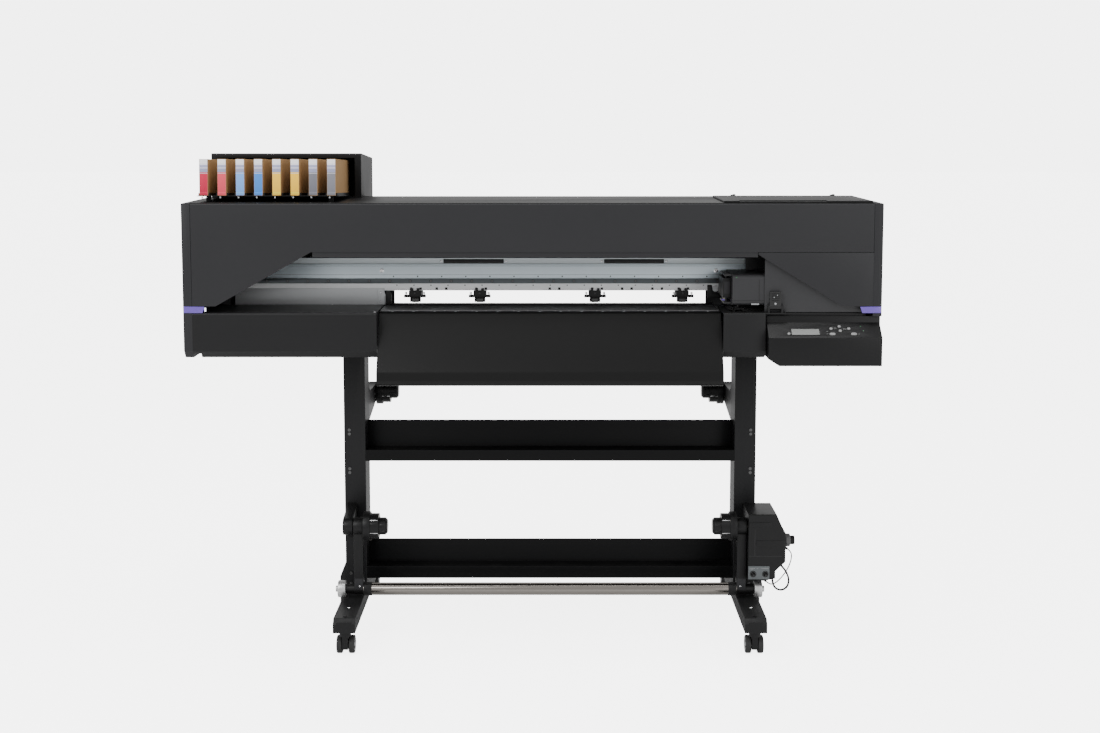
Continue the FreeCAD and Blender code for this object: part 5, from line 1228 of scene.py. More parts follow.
# ---------------------------------------------------------------- window
@dataclass
class BeamGroup:
    """Rail beam, rail, drive and everything seen through the window."""

    rail_pitch: float = 0.06
    mark_places: tuple[float, ...] = (-0.3444, -0.2691, -0.1529, 0.0628, 0.1876, 0.2752, 0.3640, 0.4410)
    mark_spread: float = 0.014
    star_places: tuple[float, ...] = (-0.4442, 0.5367)
    slots: tuple[tuple[float, float], ...] = ((-0.264, -0.086), (0.208, 0.385))
    band_top: float = 1.048
    beam_top: float = 1.104
    star_z: float = 1.0855
    rail_z: float = 1.0556
    rail_screws: int = 31
    cam_z: float = 1.0330

    def beam(self) -> None:
        """The beam with its painted lower band, bright face and darker top strip."""
        low, high = corners("rail_beam")

        def choose(middle: Vector, normal: Vector) -> Optional[Finish]:
            """The beam's finish at a face: back, lower band, top strip, or the face's own.

            Args:
                middle: middle of the face.
                normal: the face's normal.

            Returns:
                The finish, or None to keep the one it has.
            """
            if middle.y > -0.0598:
                return PLATEN
            if middle.z < self.band_top + 0.0005 and middle.y < -0.1095:
                return BAND
            if middle.z > self.beam_top:
                return STRIP
            return None

        shade(soften("rail_beam", ALUMINIUM, 0.0008), choose)
        stars = Shape()
        for x in self.star_places:
            stars.lathe([(0.0, 0.0062), (-0.0016, 0.0058), (-0.0022, 0.0045), (-0.0022, 0.0028),
                         (-0.0008, 0.0022), (-0.0006, 0.0)], Axis.Y, (x, -0.111, self.star_z), 20)
            for i in range(6):
                angle = math.pi * i / 3
                stars.box((x + 0.0072 * math.cos(angle) - 0.0009, -0.1118,
                           self.star_z + 0.0072 * math.sin(angle) - 0.0009),
                          (x + 0.0072 * math.cos(angle) + 0.0009, -0.1109,
                           self.star_z + 0.0072 * math.sin(angle) + 0.0009), 0.0003)
        stars.piece("beam_stars", CHROME)
        lines = Shape()
        for z in (1.0725, 1.0985):
            lines.box((low.x + 0.001, -0.1113, z), (high.x - 0.001, -0.11095, z + 0.0009), 0.0)
        lines.piece("beam_lines", RAIL)

    def rail(self) -> None:
        """Linear rail, belt, pulleys and motor, with the rail's sunk screws."""
        drive = CadCopy("carriage_drive")
        for i, island in enumerate(drive.islands):
            width = span(island, Axis.X)
            depth = span(island, Axis.Y)
            finish = PLASTIC if width < 0.5 else (RAIL if depth < 0.02 else RUBBER)
            drive.dress(finish, 0.0006, i, f"carriage_drive_{i}")
        drive.done()
        low = -0.93
        # Each counterbore is a black ring round its screw: painted shade of the recess.
        holes = Shape()
        screws = Shape()
        for i in range(self.rail_screws):
            x = low + 0.03 + i * self.rail_pitch
            holes.ring([(0.0, 0.0044), (-0.0003, 0.0042), (-0.0003, 0.0032), (0.0, 0.0031)], Axis.Y,
                       (x, -0.12102, self.rail_z), 20)
            screws.lathe([(0.0, 0.0030), (-0.00015, 0.0029), (-0.0001, 0.0014), (0.0002, 0.0)], Axis.Y,
                         (x, -0.12103, self.rail_z), 16)
        holes.piece("rail_counterbores", PLASTIC)
        screws.piece("rail_screws", STEEL_DARK)

    def lamp_slots(self) -> None:
        """Black inserts in the upper strip, each with a bright screw at both ends."""
        inserts = Shape()
        ends = Shape()
        for a, b in self.slots:
            inserts.box((a + 0.0005, -0.1048, 1.1065), (b - 0.0005, -0.1032, 1.1185), 0.0005)
            for k in between(a + 0.03, b - 0.03, 4):
                inserts.box((k - 0.004, -0.1053, 1.109), (k + 0.004, -0.1046, 1.116), 0.0004)
            for x in (a - 0.006, b + 0.006):
                screw_head(ends, (x, -0.1052, 1.1125), Axis.Y, -1.0, 0.0034)
        inserts.piece("strip_inserts", PLASTIC)
        ends.piece("strip_screws", CHROME)
        cuts = Shape()
        for x in between(-0.41, 0.51, 14):
            cuts.lathe([(0.0, 0.0022), (-0.0004, 0.0020), (-0.0003, 0.0011), (0.0, 0.0)], Axis.Y,
                       (x, -0.11102, 1.068), 14)
        cuts.piece("beam_small_screws", RAIL)

    def marks(self) -> None:
        """Pairs of dark marks on the lower band."""
        shape = Shape()
        for x in self.mark_places:
            for side in (-1, 1):
                shape.box((x + side * self.mark_spread - 0.0035, -0.1154, 1.029),
                          (x + side * self.mark_spread + 0.0035, -0.11495, 1.036), 0.0003)
        for x in between(-0.40, 0.50, 19):
            shape.lathe([(0.0, 0.0017), (-0.0004, 0.0015), (-0.0003, 0.0)], Axis.Y,
                        (x, -0.11502, 1.0425), 12)
        shape.piece("band_marks", PLASTIC)

    def left_bracket(self) -> None:
        """Stamped bracket and its black stop at the platen's left end."""
        plate = Shape().prism([(-0.4550, 0.9862), (-0.4335, 0.9862), (-0.4335, 1.0150), (-0.4400, 1.0330),
                               (-0.4550, 1.0330)], Axis.Y, -0.1205, -0.1186, 0.0005)
        plate.box((-0.4365, -0.1205, 0.9862), (-0.4345, -0.1130, 1.012), 0.0004)
        plate.piece("left_bracket", PLATE)
        screws = Shape()
        for z in (0.996, 1.022):
            screw_head(screws, (-0.4475, -0.1204, z), Axis.Y, -1.0, 0.0026)
        screws.piece("left_bracket_screws", CHROME)
        stop = Shape().prism([(-0.4310, 0.9862), (-0.4165, 0.9862), (-0.4165, 1.0180), (-0.4230, 1.0250),
                              (-0.4310, 1.0250)], Axis.Y, -0.1205, -0.1120, 0.0012)
        stop.piece("left_stop", PLASTIC)

    def right_bracket(self) -> None:
        """Black bracket with its bright cam and hexagon bolt at the window's right end."""
        black = Shape().prism([(0.5110, 1.0050), (0.5700, 1.0050), (0.5700, 1.0180), (0.5280, 1.0220),
                               (0.5240, 1.0440), (0.5110, 1.0440)], Axis.Y, -0.1180, -0.1155, 0.0008)
        black.piece("right_bracket", PLASTIC)
        cam = Shape().lathe([(0.0, 0.0088), (-0.0014, 0.0094), (-0.0026, 0.0088), (-0.0026, 0.0040),
                             (-0.0016, 0.0036), (-0.0016, 0.0)], Axis.Y,
                            (0.5350, -0.1176, self.cam_z), 36)
        cam.piece("right_cam", PLATE)
        bolt = Shape().lathe([(0.0, 0.0078), (-0.0012, 0.0078), (-0.0012, 0.0062)], Axis.Y,
                             (0.5615, -0.1176, self.cam_z), 28)
        bolt.lathe([(-0.0012, 0.0062), (-0.0030, 0.0062), (-0.0033, 0.0052), (-0.0033, 0.0)], Axis.Y,
                   (0.5615, -0.1176, self.cam_z), 6)
        bolt.piece("right_bolt", STEEL)

    def build(self) -> None:
        """Builds every part of the beam group."""
        self.beam()
        self.rail()
        self.lamp_slots()
        self.marks()
        self.left_bracket()
        self.right_bracket()


@dataclass
class MediaPath:
    """Platen, rollers, pinch arms, apron and the clamp lever."""

    arms: tuple[float, ...] = (-0.347, -0.157, 0.182, 0.439)
    platen_z: float = 0.983

    def platen(self) -> None:
        """Platen and the light plate at its left, with suction holes drawn as black rings of painted
        shade, cut line and notches.
        """
        copy = CadCopy("platen")
        for i, island in enumerate(copy.islands):
            width = span(island, Axis.X)
            left = min(v.co.x for v in island.verts) < -0.6
            copy.dress(PLATE if left and width < 0.6 else PLATEN, 0.0006, i, f"platen_{i}")
        copy.done()
        # Suction holes drawn as black rings on the platen: painted shade of the openings.
        holes = Shape()
        for row, y in enumerate((-0.205, -0.185, -0.165)):
            for i in range(46):
                x = -0.42 + i * 0.0205 + (row % 2) * 0.010
                holes.ring([(0.0, 0.0019), (0.00025, 0.0018), (0.00025, 0.0012), (0.0, 0.0011)], Axis.Z,
                           (x, y, self.platen_z), 8)
        holes.piece("platen_holes", PLASTIC)
        line = Shape().box((-0.43, -0.1500, self.platen_z - 0.0002),
                           (0.529, -0.1462, self.platen_z + 0.0003), 0.0001)
        line.piece("cutting_strip", RUBBER)
        notches = Shape()
        for x in between(-0.41, 0.50, 24):
            notches.box((x - 0.002, -0.2292, 0.9765), (x + 0.002, -0.2286, 0.9815), 0.0002)
        notches.piece("platen_notches", PLATE)

    def pinch(self) -> None:
        """Arms with their springs and caps, wheels and roller."""
        soften("pinch_arms", PLASTIC, 0.0008)
        wheels = soften("pinch_wheels", RUBBER_GREY, 0.0006)
        shade(wheels,
              lambda middle, normal: STEEL if all(abs(middle.x - x) > 0.0101 for x in self.arms) else None)
        soften("grit_roller", STEEL, 0.0005)
        springs = Shape()
        caps = Shape()
        for x in self.arms:
            for side in (-1, 1):
                cx = x + side * 0.026
                turns = [Vector((cx + 0.0030 * math.cos(t * 0.7854),
                                 -0.1146 + 0.0030 * math.sin(t * 0.7854),
                                 1.0150 + t * 0.000175)) for t in range(45)]
                springs.tube(turns, 0.00055, 6)
            caps.lathe([(0.0, 0.0034), (-0.0011, 0.0032), (-0.0013, 0.0)], Axis.Y,
                       (x, -0.1206, 1.020), 16)
        springs.piece("pinch_springs", STEEL, ride_body("pinch_arms"))
        caps.piece("pinch_caps", GLOSS, ride_body("pinch_arms"))

    def guides(self) -> None:
        """Apron and rear guide, with the apron's bright tabs."""
        soften("media_guides", APRON, 0.0)
        tabs = Shape()
        for x in between(-0.40, 0.50, 16):
            tabs.box((x - 0.0030, -0.2460, 0.98115), (x + 0.0030, -0.2400, 0.98165), 0.0002)
        tabs.piece("apron_tabs", PLATE)

    def lever(self) -> None:
        """Clamp lever with its grip ridges and screws."""
        body = ride_body("clamp_lever")
        soften("clamp_lever", LEVER, 0.0012)
        low, high = corners("clamp_lever")
        x = (low.x + high.x) / 2
        ridges = Shape()
        for i in range(4):
            z = 1.019 + i * 0.0062
            y = -0.3025 - (z - 1.0) * 3.0 / 44.0
            ridges.box((x - 0.011, y - 0.0009, z), (x + 0.011, y + 0.0004, z + 0.0022), 0.0005)
        ridges.piece("lever_ridges", PLASTIC, body)
        screws = Shape()
        screw_head(screws, (x, -0.3034, 1.0105), Axis.Y, -1.0, 0.0030)
        for side, z in ((-0.0045, 1.0290), (0.0045, 1.0352)):
            screw_head(screws, (x + side, -0.3040 - (z - 1.0) * 3.0 / 44.0, z), Axis.Y, -1.0, 0.0015)
        screws.piece("lever_screw", PLATE, body)

    def build(self) -> None:
        """Builds the media path."""
        self.platen()
        self.pinch()
        self.guides()
        self.lever()


@dataclass
class CarriageGroup:
    """Carriage, cutter head and capping station."""

    def carriage(self) -> None:
        """Carriage cover with its seam, catch and status lens."""
        soften("carriage_sliders", STEEL_DARK, 0.0006)
        piece = soften("carriage", CARRIAGE_GREY, 0.0012)
        shade(piece, lambda middle, normal: PLASTIC if middle.z < 1.0035 or middle.y > -0.1224 else None)
        body = ride_body("carriage")
        seam = Shape()
        seam.box((0.567, -0.28535, 1.0165), (0.737, -0.2849, 1.0178), 0.0002)
        seam.box((0.6395, -0.28535, 1.0178), (0.6408, -0.2849, 1.0790), 0.0002)
        seam.piece("carriage_seams", PLASTIC, body)
        catch = Shape().box((0.618, -0.2856, 1.0055), (0.640, -0.2846, 1.0092), 0.0005)
        catch.piece("carriage_catch", PLATE, body)
        lens = Shape().lathe([(0.0, 0.0018), (-0.0005, 0.0016), (-0.0007, 0.0)], Axis.Y,
                             (0.576, -0.2848, 1.083), 16)
        lens.piece("carriage_lens", LAMP_GREEN, body)

    def cutter(self) -> None:
        """Cutter head with its blade-holder collar."""
        piece = soften("cutter_head", PLASTIC, 0.0010)
        shade(piece, lambda middle, normal: STEEL if middle.z < 1.0215 else None)
        body = ride_body("cutter_head")
        low, _ = corners("cutter_head")
        collar = Shape().ring([(0.0, 0.0088), (0.004, 0.0088), (0.004, 0.0081), (0.0, 0.0081)], Axis.Z,
                              (0.553, -0.203, 1.0085), 28)
        collar.piece("blade_collar", VIOLET, body)
        face = Shape().box((0.5445, low.y - 0.0001, 1.034), (0.5605, low.y + 0.0008, 1.068), 0.0006)
        face.piece("cutter_face", COVER, body)

    def build(self) -> None:
        """Builds the carriage group."""
        self.carriage()
        self.cutter()
        piece = soften("capping_station", PLASTIC, 0.0010)
        shade(piece, lambda middle, normal: RUBBER if middle.z > 0.9665 else None)


# ---------------------------------------------------------------- operation panel
@dataclass
class OperationPanel:
    """Sloped control panel with its keys, display and lamps."""

    left: float = 0.661
    edge_y: float = -0.341
    edge_z: float = 0.919
    rear_y: float = -0.298
    rear_z: float = 0.957
    key_sizes: dict[str, tuple[float, float]] = field(default_factory=lambda: {
        "power_button": (0.0080, 0.0080), "key_up": (0.0088, 0.0078), "key_left": (0.0088, 0.0078),
        "key_right": (0.0088, 0.0078), "key_down": (0.0088, 0.0078), "key_end": (0.0166, 0.0088),
        "key_enter": (0.0166, 0.0088)})

    def on_slope(self, x: float, share: float, above: float = 0.0) -> Vector:
        """A place on the slope.

        Args:
            x: distance from the panel's left side.
            share: place up the slope, 0 to 1.
            above: height over the surface.

        Returns:
            The point.
        """
        run = Vector((0.0, self.rear_y - self.edge_y, self.rear_z - self.edge_z))
        up = Vector((0.0, -run.z, run.y)).normalized()
        return Vector((self.left + x, self.edge_y, self.edge_z)) + run * share + up * above

    def slope_turn(self) -> float:
        """The slope's angle from level, in degrees.

        Returns:
            The angle.
        """
        return math.degrees(math.atan2(self.rear_z - self.edge_z, self.rear_y - self.edge_y))

    def lay(self, shape: Shape, x: float, share: float, above: float = 0.0) -> Shape:
        """Tips a flat shape made round the origin to the slope and sets it at a place.

        Args:
            shape: shape made flat round the origin.
            x: distance from the panel's left side.
            share: place up the slope, 0 to 1.
            above: height over the slope, metres.

        Returns:
            The same shape.
        """
        return shape.turned(self.slope_turn(), Axis.X, ORIGIN).moved(self.on_slope(x, share, above))

    def key(self, node: str, size: tuple[float, float]) -> None:
        """A domed oval key cap that stands for the node.

        Args:
            node: name of the CAD node.
            size: width and depth of the cap, metres.
        """
        low, high = corners(node)
        middle = (low + high) / 2
        shape = Shape()
        profile = [(-0.0042, 0.5), (0.0006, 0.5), (0.0012, 0.47), (0.00155, 0.36), (0.0016, 0.0)]
        shape.lathe([(-0.0042, 0.0), *profile], Axis.Z, ORIGIN, 36)
        for vert in shape.bm.verts:
            squared = abs(vert.co.x) ** 2.6 + abs(vert.co.y) ** 2.6
            flat = (abs(vert.co.x) ** 2 + abs(vert.co.y) ** 2) ** 0.5
            grow = flat / (squared ** (1 / 2.6)) if flat > 1e-6 else 1.0
            vert.co.x *= size[0] * grow
            vert.co.y *= size[1] * grow
        shape.turned(self.slope_turn(), Axis.X, ORIGIN)
        up = Vector((0.0, -math.sin(math.radians(self.slope_turn())),
                     math.cos(math.radians(self.slope_turn()))))
        shape.moved(middle + up * 0.0012)
        piece = shape.piece(node + "_cap", GREY_KEY, ride_body(node), 50.0)
        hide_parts(node)

    def housing(self) -> None:
        """Panel shell and display with its bezel."""
        copy = CadCopy("panel_housing")
        for i, island in enumerate(copy.islands):
            width = span(island, Axis.X)
            copy.dress(SCREEN if width < 0.1 else PANEL_BLACK, 0.0 if width < 0.1 else 0.0016,
                       i, f"panel_{i}")
        copy.done()
        bezel = Shape()
        for a, b in (((-0.0405, -0.0120), (0.0405, -0.0108)), ((-0.0405, 0.0108), (0.0405, 0.0120)),
                     ((-0.0405, -0.0120), (-0.0393, 0.0120)), ((0.0393, -0.0120), (0.0405, 0.0120))):
            bezel.box((a[0], a[1], -0.0004), (b[0], b[1], 0.0006), 0.0003)
        self.lay(bezel, 0.105, 0.39)
        bezel.piece("display_bezel", GLOSS)

    def marks(self) -> None:
        """Small lamps and plain guide lines round the keys."""
        lamps = Shape()
        for x, share in ((0.262, 0.74), (0.268, 0.46)):
            lens = Shape().lathe([(0.0, 0.0016), (0.0005, 0.0014), (0.0006, 0.0)], Axis.Z,
                                 ORIGIN, 16)
            lamps.take(self.lay(lens, x, share))
        lamps.piece("panel_lamps", LAMP_GREEN)
        dashes = Shape()
        for x0, x1, share in ((0.186, 0.193, 0.60), (0.212, 0.221, 0.60), (0.186, 0.193, 0.66),
                              (0.212, 0.221, 0.54), (0.163, 0.169, 0.42), (0.163, 0.169, 0.26),
                              (0.252, 0.257, 0.26)):
            dash = Shape().box((x0, -0.0003, -0.0001), (x1, 0.0003, 0.00015), 0.0)
            dashes.take(self.lay(dash, 0.0, share))
        dashes.piece("panel_dashes", GREY_KEY)

    def build(self) -> None:
        """Builds the panel."""
        self.housing()
        for node, size in self.key_sizes.items():
            self.key(node, size)
        self.marks()


# ---------------------------------------------------------------- ink unit
@dataclass
class InkUnit:
    """Ink housing and its eight cartons."""

    first: float = -0.940
    pitch: float = 0.0515
    width: float = 0.024
    height: float = 0.103
    front: float = -0.260
    low: float = 1.313
    tilt: float = -2.4
    colors: tuple[tuple[float, float, float], ...] = (
        (0.60, 0.006, 0.055), (0.82, 0.060, 0.105), (0.17, 0.42, 0.95), (0.045, 0.25, 0.75),
        (1.00, 0.60, 0.035), (1.00, 0.58, 0.025), (0.17, 0.17, 0.20), (0.20, 0.20, 0.23))

    def label(self, index: int, body: str) -> None:
        """Printed front label of a carton: white head, pale band and colour field.

        Args:
            index: carton, from 0 at the left.
            body: body that the label rides on.
        """
        x = self.first + index * self.pitch
        y = self.front
        shape = Shape().box((x + 0.0006, y - 0.0002, self.low + 0.0008),
                            (x + self.width - 0.0006, y + 0.0004, self.low + self.height - 0.0008),
                            0.0002)
        shape.turned(self.tilt, Axis.X, (0.0, self.front, self.low))
        base = self.colors[index]
        shade_up = tuple(min(1.0, c * 1.25 + 0.02) for c in base)
        z = self.low
        finish = BandedFinish(f"carton_label_{index + 1}", "carton", base, 0.42, 0.05, 0.05, bump=0.08,
                              wear_and_highlight=0.2, dust=0.02, wear_and_highlight_color=(0.8, 0.8, 0.8),
                              bands=((z + 0.006, shade_up), (z + 0.010, base),
                                     (z + 0.0620, (0.62, 0.62, 0.66)), (z + 0.0635, base),
                                     (z + 0.0655, (0.30, 0.31, 0.46)), (z + 0.0760, (0.62, 0.60, 0.74)),
                                     (z + 0.0795, (0.36, 0.37, 0.55)), (z + 0.0860, (0.80, 0.78, 0.86)),
                                     (z + 0.0905, (0.92, 0.90, 0.92))))
        shape.piece(f"ink_pack_{index + 1}_label", finish, body)

    def carton(self, index: int) -> None:
        """Kraft carton with glued seams, a pull tab and its label.

        Args:
            index: carton, from 0 at the left.
        """
        node = f"ink_pack_{index + 1}"
        body = ride_body(node)
        soften(node, KRAFT, 0.0007)
        x = self.first + index * self.pitch
        seams = Shape()
        top = self.low + self.height
        seams.box((x + self.width / 2 - 0.0003, self.front + 0.004, top - 0.0001),
                  (x + self.width / 2 + 0.0003, self.front + 0.296, top + 0.0001), 0.0)
        seams.box((x + self.width - 0.0001, self.front + 0.012, self.low + 0.001),
                  (x + self.width + 0.0001, self.front + 0.0126, top - 0.001), 0.0)
        seams.turned(self.tilt, Axis.X, (0.0, self.front, self.low))
        seams.piece(node + "_seams", KRAFT_DARK, body)
        self.label(index, body)

    def housing(self) -> None:
        """Softened housing, with the connectors that show behind the cartons."""
        soften("ink_housing", COVER_DARK, 0.0016)
        ends = Shape()
        for i in range(len(self.colors)):
            x = self.first + i * self.pitch + self.width / 2
            ends.lathe([(0.0, 0.0055), (-0.003, 0.0055), (-0.003, 0.003), (-0.006, 0.0025),
                        (-0.006, 0.0)], Axis.Y, (x, self.front + 0.3105, self.low + 0.045), 20)
        ends.piece("ink_ports", STEEL)
        clips = Shape()
        for i in range(len(self.colors)):
            x = self.first + i * self.pitch
            clips.box((x + 0.004, self.front + 0.0065, self.low - 0.0085),
                      (x + 0.008, self.front + 0.0105, self.low - 0.0035), 0.0004)
        clips.piece("tray_clips", CHROME)

    def build(self) -> None:
        """Builds the ink unit."""
        self.housing()
        for index in range(len(self.colors)):
            self.carton(index)


# ---------------------------------------------------------------- stand and rolls
@dataclass
class Stand:
    """Legs, feet, beams, casters and fasteners."""

    wheels: tuple[str, ...] = ("front_left", "front_right", "rear_left", "rear_right")

    def frame(self) -> None:
        """Powder-coated legs, feet and beams."""
        soften("stand_legs", POWDER, 0.0025)
        soften("stand_feet", POWDER, 0.0012)
        soften("cross_beams", BEAM_COAT, 0.0012)
        soften("base_frame", POWDER, 0.0)
        soften("fasteners", STEEL_DARK, 0.0)

    def foot_plates(self) -> None:
        """A plain plate on the front of each foot."""
        plates = Shape()
        for x in (-0.5365, 0.6355):
            plates.box((x - 0.022, -0.3502, 0.0800), (x + 0.022, -0.3494, 0.1040), 0.0006)
        plates.piece("foot_plates", PLASTIC)

    def casters(self) -> None:
        """Twin-wheel casters with hub discs."""
        for place in self.wheels:
            fork = "caster_fork_" + place
            wheels = "caster_wheels_" + place
            soften(fork, PLASTIC, 0.0008)
            piece = soften(wheels, RUBBER, 0.0010)
            low, high = corners(wheels)
            middle = (low + high) / 2
            shade(piece, lambda centre, normal, m=middle: GLOSS if
                  math.hypot(centre.y - m.y, centre.z - m.z) < 0.017 else None)
            hubs = Shape()
            for side, x in ((-1, low.x), (1, high.x)):
                hubs.ring([(side * -0.0012, 0.0165), (side * 0.0, 0.0158), (side * 0.0, 0.0142),
                           (side * -0.0012, 0.0135)], Axis.X,
                          (x + side * -0.0001, middle.y, middle.z), 32)
                hubs.lathe([(side * -0.0010, 0.0056), (side * -0.0002, 0.0050), (side * 0.0, 0.0)],
                           Axis.X, (x + side * -0.0001, middle.y, middle.z), 20)
            hubs.piece(wheels + "_hubs", PLATE, ride_body(wheels))

    def build(self) -> None:
        """Builds the stand."""
        self.frame()
        self.foot_plates()
        self.casters()


@dataclass
class Rolls:
    """Core flanges, tension bar, brackets and the motor unit."""

    feed: tuple[float, float] = (0.252, 0.664)
    take: tuple[float, float] = (-0.161, 0.333)
    bar_z: float = 0.143
    knob: tuple[float, float] = (-0.161, 0.291)
    ribs: int = 8
    flutes: int = 14

    def flange_detail(self, node: str, centre: tuple[float, float]) -> None:
        """Ribs, spring strips and screws round both flanges of a pair.

        Args:
            node: name of the CAD node.
            centre: Y and Z of the flanges' axis.
        """
        body = ride_body(node)
        piece = soften(node, PLASTIC, 0.0012)
        shade(piece,
              lambda m, n: STEEL if math.hypot(m.y - centre[0], m.z - centre[1]) < 0.0081 else None)
        ribs = Shape()
        strips = Shape()
        screws = Shape()
        for stop, side in self.faces(node):
            for i in range(self.ribs):
                angle = 2 * math.pi * (i + 0.5) / self.ribs
                cy, cz = centre[0] + 0.0372 * math.cos(angle), centre[1] + 0.0372 * math.sin(angle)
                one = Shape().box((0.0, -0.0022, -0.0006), (0.0236, 0.0022, 0.0006), 0.0005)
                self.add(ribs, one, math.degrees(angle) - 90.0, (min(stop, stop + side * 0.0236), cy, cz))
                cy, cz = centre[0] + 0.0250 * math.cos(angle), centre[1] + 0.0250 * math.sin(angle)
                one = Shape().box((0.0, -0.0018, -0.0005), (0.0170, 0.0018, 0.0005), 0.0004)
                start = stop + side * 0.026
                self.add(ribs, one, math.degrees(angle) - 90.0,
                         (min(start, start + side * 0.0170), cy, cz))
            for angle in (-160.0, 20.0, 140.0):
                cy = centre[0] + 0.0376 * math.cos(math.radians(angle))
                cz = centre[1] + 0.0376 * math.sin(math.radians(angle))
                one = Shape().box((0.0, -0.0011, -0.0003), (0.0240, 0.0011, 0.0003), 0.0002)
                self.add(strips, one, angle - 90.0, (min(stop, stop + side * 0.0240), cy, cz))
            for i in range(3):
                angle = 2 * math.pi * i / 3 + 0.4
                screw_head(screws, (stop + side * 0.0001, centre[0] + 0.0402 * math.cos(angle),
                                    centre[1] + 0.0402 * math.sin(angle)), Axis.X, float(side), 0.0019)
        ribs.piece(node + "_ribs", GLOSS, body)
        strips.piece(node + "_springs", CHROME, body)
        screws.piece(node + "_screws", STEEL, body)

    @staticmethod
    def add(target: Shape, one: Shape, degrees: float, place: Point) -> None:
        """Turns a small shape about X, moves it and adds it to another.

        Args:
            target: shape that takes the other.
            one: small shape made round the origin.
            degrees: turn about X.
            place: where its origin goes.
        """
        target.take(one.turned(degrees, Axis.X, ORIGIN).moved(place))

    def faces(self, node: str) -> tuple[tuple[float, int], tuple[float, int]]:
        """Where each flange's stop ring ends, and the way it points.

        Args:
            node: name of the CAD node.

        Returns:
            X of each stop ring's face, and the way it points, 1 or -1.
        """
        if node == "feed_flanges":
            face = -0.5045 + 0.020
        else:
            face = -0.5015 + 0.0025 + 0.020
        return ((face, 1), (2 * MEDIA_MIDDLE - face, -1))

    def tension(self) -> None:
        """Bright bar with black sleeves, arms with their pads and screws, and brushed weights."""
        middle = MEDIA_MIDDLE

        def choose(centre: Vector, normal: Vector) -> Optional[Finish]:
            """Brushed weights at the ends, a bright bar between the sleeves, black elsewhere.

            Args:
                centre: middle of the face.
                normal: the face's normal.

            Returns:
                The finish, or None to keep the one it has.
            """
            away = abs(centre.x - middle)
            radius = math.hypot(centre.y - self.take[0], centre.z - self.bar_z)
            if away > 0.6035 and radius < 0.0262 and centre.z < 0.175:
                return WEIGHT
            if away < 0.529 and radius < 0.0190:
                return STEEL
            return None

        piece = soften("tension_bar", PLASTIC, 0.0010)
        shade(piece, choose)
        body = ride_body("tension_bar")
        sleeves = Shape()
        for side in (-1, 1):
            inner = middle + side * 0.5270
            outer = middle + side * 0.5505
            sleeves.ring([(inner, 0.0193), (inner + side * 0.0015, 0.0199), (outer, 0.0199),
                          (outer, 0.0187), (inner, 0.0187)], Axis.X, (0.0, self.take[0], self.bar_z), 40)
        sleeves.piece("bar_sleeves", PLASTIC, body)
        screws = Shape()
        for side in (-1, 1):
            screw_head(screws, (middle + side * 0.5620, self.take[0] - 0.0150, self.bar_z + 0.012),
                       Axis.Y, -1.0, 0.0026)
        screws.piece("arm_screws", CHROME, body)
        pads = Shape()
        for side in (-1, 1):
            a, b = sorted((middle + side * 0.5530, middle + side * 0.5765))
            pads.box((a, self.take[0] - 0.0155, self.bar_z + 0.002),
                     (b, self.take[0] - 0.0146, self.bar_z + 0.035), 0.0006)
            pads.box((a, self.take[0] - 0.0155, 0.322), (b, self.take[0] - 0.0146, 0.338), 0.0006)
        pads.piece("arm_pads", COVER, body)

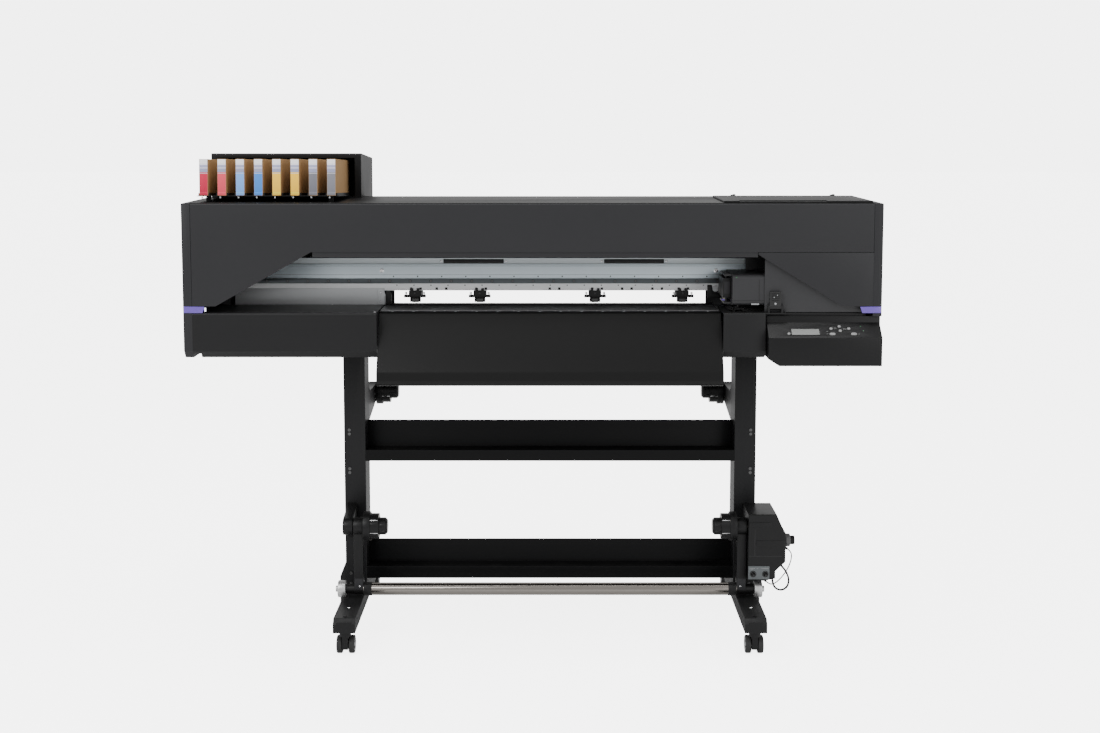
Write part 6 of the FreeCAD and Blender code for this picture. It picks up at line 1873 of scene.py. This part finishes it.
    def motor(self) -> None:
        """Motor unit with its raised bands, seams, slots, switch plate and toggles."""
        piece = soften("motor_unit", PLASTIC, 0.0022)
        shade(piece, lambda m, n: SWITCH_PLATE if m.y < -0.2002 and m.z < 0.2235 else None)
        raised = Shape()
        raised.box((0.6325, -0.2019, 0.3395), (0.6985, -0.1985, 0.3545), 0.0016)
        raised.box((0.6525, -0.2017, 0.2800), (0.7370, -0.1985, 0.3000), 0.0016)
        raised.piece("motor_bands", PLASTIC)
        seams = Shape()
        seams.box((0.6318, -0.2003, 0.2520), (0.7300, -0.1996, 0.2532), 0.0002)
        seams.box((0.6490, -0.2003, 0.2532), (0.6502, -0.1996, 0.3340), 0.0002)
        seams.piece("motor_seams", GLOSS)
        vents = Shape()
        for i in range(7):
            y = -0.175 + i * 0.012
            vents.box((0.7398, y, 0.2420), (0.7402, y + 0.005, 0.2640), 0.0001)
        vents.piece("motor_vents", GLOSS)
        nuts = Shape()
        bosses = Shape()
        for x in (0.645, 0.681):
            nuts.ring([(0.0, 0.0078), (-0.0018, 0.0078), (-0.0018, 0.0058), (0.0, 0.0058)], Axis.Y,
                      (x, -0.2020, 0.200), 6)
            bosses.ring([(0.0, 0.0098), (-0.0006, 0.0096), (-0.0006, 0.0080), (0.0, 0.0080)], Axis.Y,
                        (x, -0.2020, 0.200), 28)
        nuts.piece("toggle_nuts", PLASTIC)
        bosses.piece("toggle_washers", GLOSS)
        for index in (1, 2):
            soften(f"toggle_{index}", GLOSS, 0.0005)
        lines = Shape()
        for x0, x1, z in ((0.635, 0.651, 0.2165), (0.655, 0.660, 0.2165), (0.669, 0.690, 0.2165),
                          (0.635, 0.645, 0.2125)):
            lines.box((x0, -0.2021, z), (x1, -0.2019, z + 0.0008), 0.0)
        lines.piece("switch_lines", GREY_KEY)

    def limiter(self) -> None:
        """Limiter knob with a grey ring and fluted black cap."""
        node = "limiter_knob"
        _, high = corners(node)
        body = ride_body(node)
        piece = soften(node, PLASTIC, 0.0)
        split = high.x - 0.013
        shade(piece, lambda m, n: RING_GREY if m.x < split - 0.0001 and
              math.hypot(m.y - self.knob[0], m.z - self.knob[1]) > 0.0065 else None)
        flutes = Shape()
        for i in range(self.flutes):
            angle = 2 * math.pi * i / self.flutes
            one = Shape().box((split + 0.0015, -0.0008, -0.0005),
                              (high.x - 0.0012, 0.0008, 0.0004), 0.0003)
            self.add(flutes, one, math.degrees(angle) - 90.0,
                     (0.0, self.knob[0] + 0.0126 * math.cos(angle),
                      self.knob[1] + 0.0126 * math.sin(angle)))
        flutes.piece("limiter_flutes", PLASTIC, body)

    def build(self) -> None:
        """Builds the rolls and the motor unit."""
        soften("roll_brackets", PLASTIC, 0.0016)
        self.flange_detail("feed_flanges", self.feed)
        self.flange_detail("takeup_flanges", self.take)
        self.tension()
        self.motor()
        self.limiter()


def main() -> None:
    """Builds the studio and every sub-assembly in order."""
    logging.basicConfig(level=logging.INFO, format="%(name)s: %(message)s")
    Studio().build()
    CABLE.build()
    LEAD.build()
    for part in (Covers(), BeamGroup(), MediaPath(), CarriageGroup(), OperationPanel(), InkUnit(),
                 Stand(), Rolls()):
        part.build()
        LOG.info("%s built", type(part).__name__)


if __name__ == "__main__":
    main()
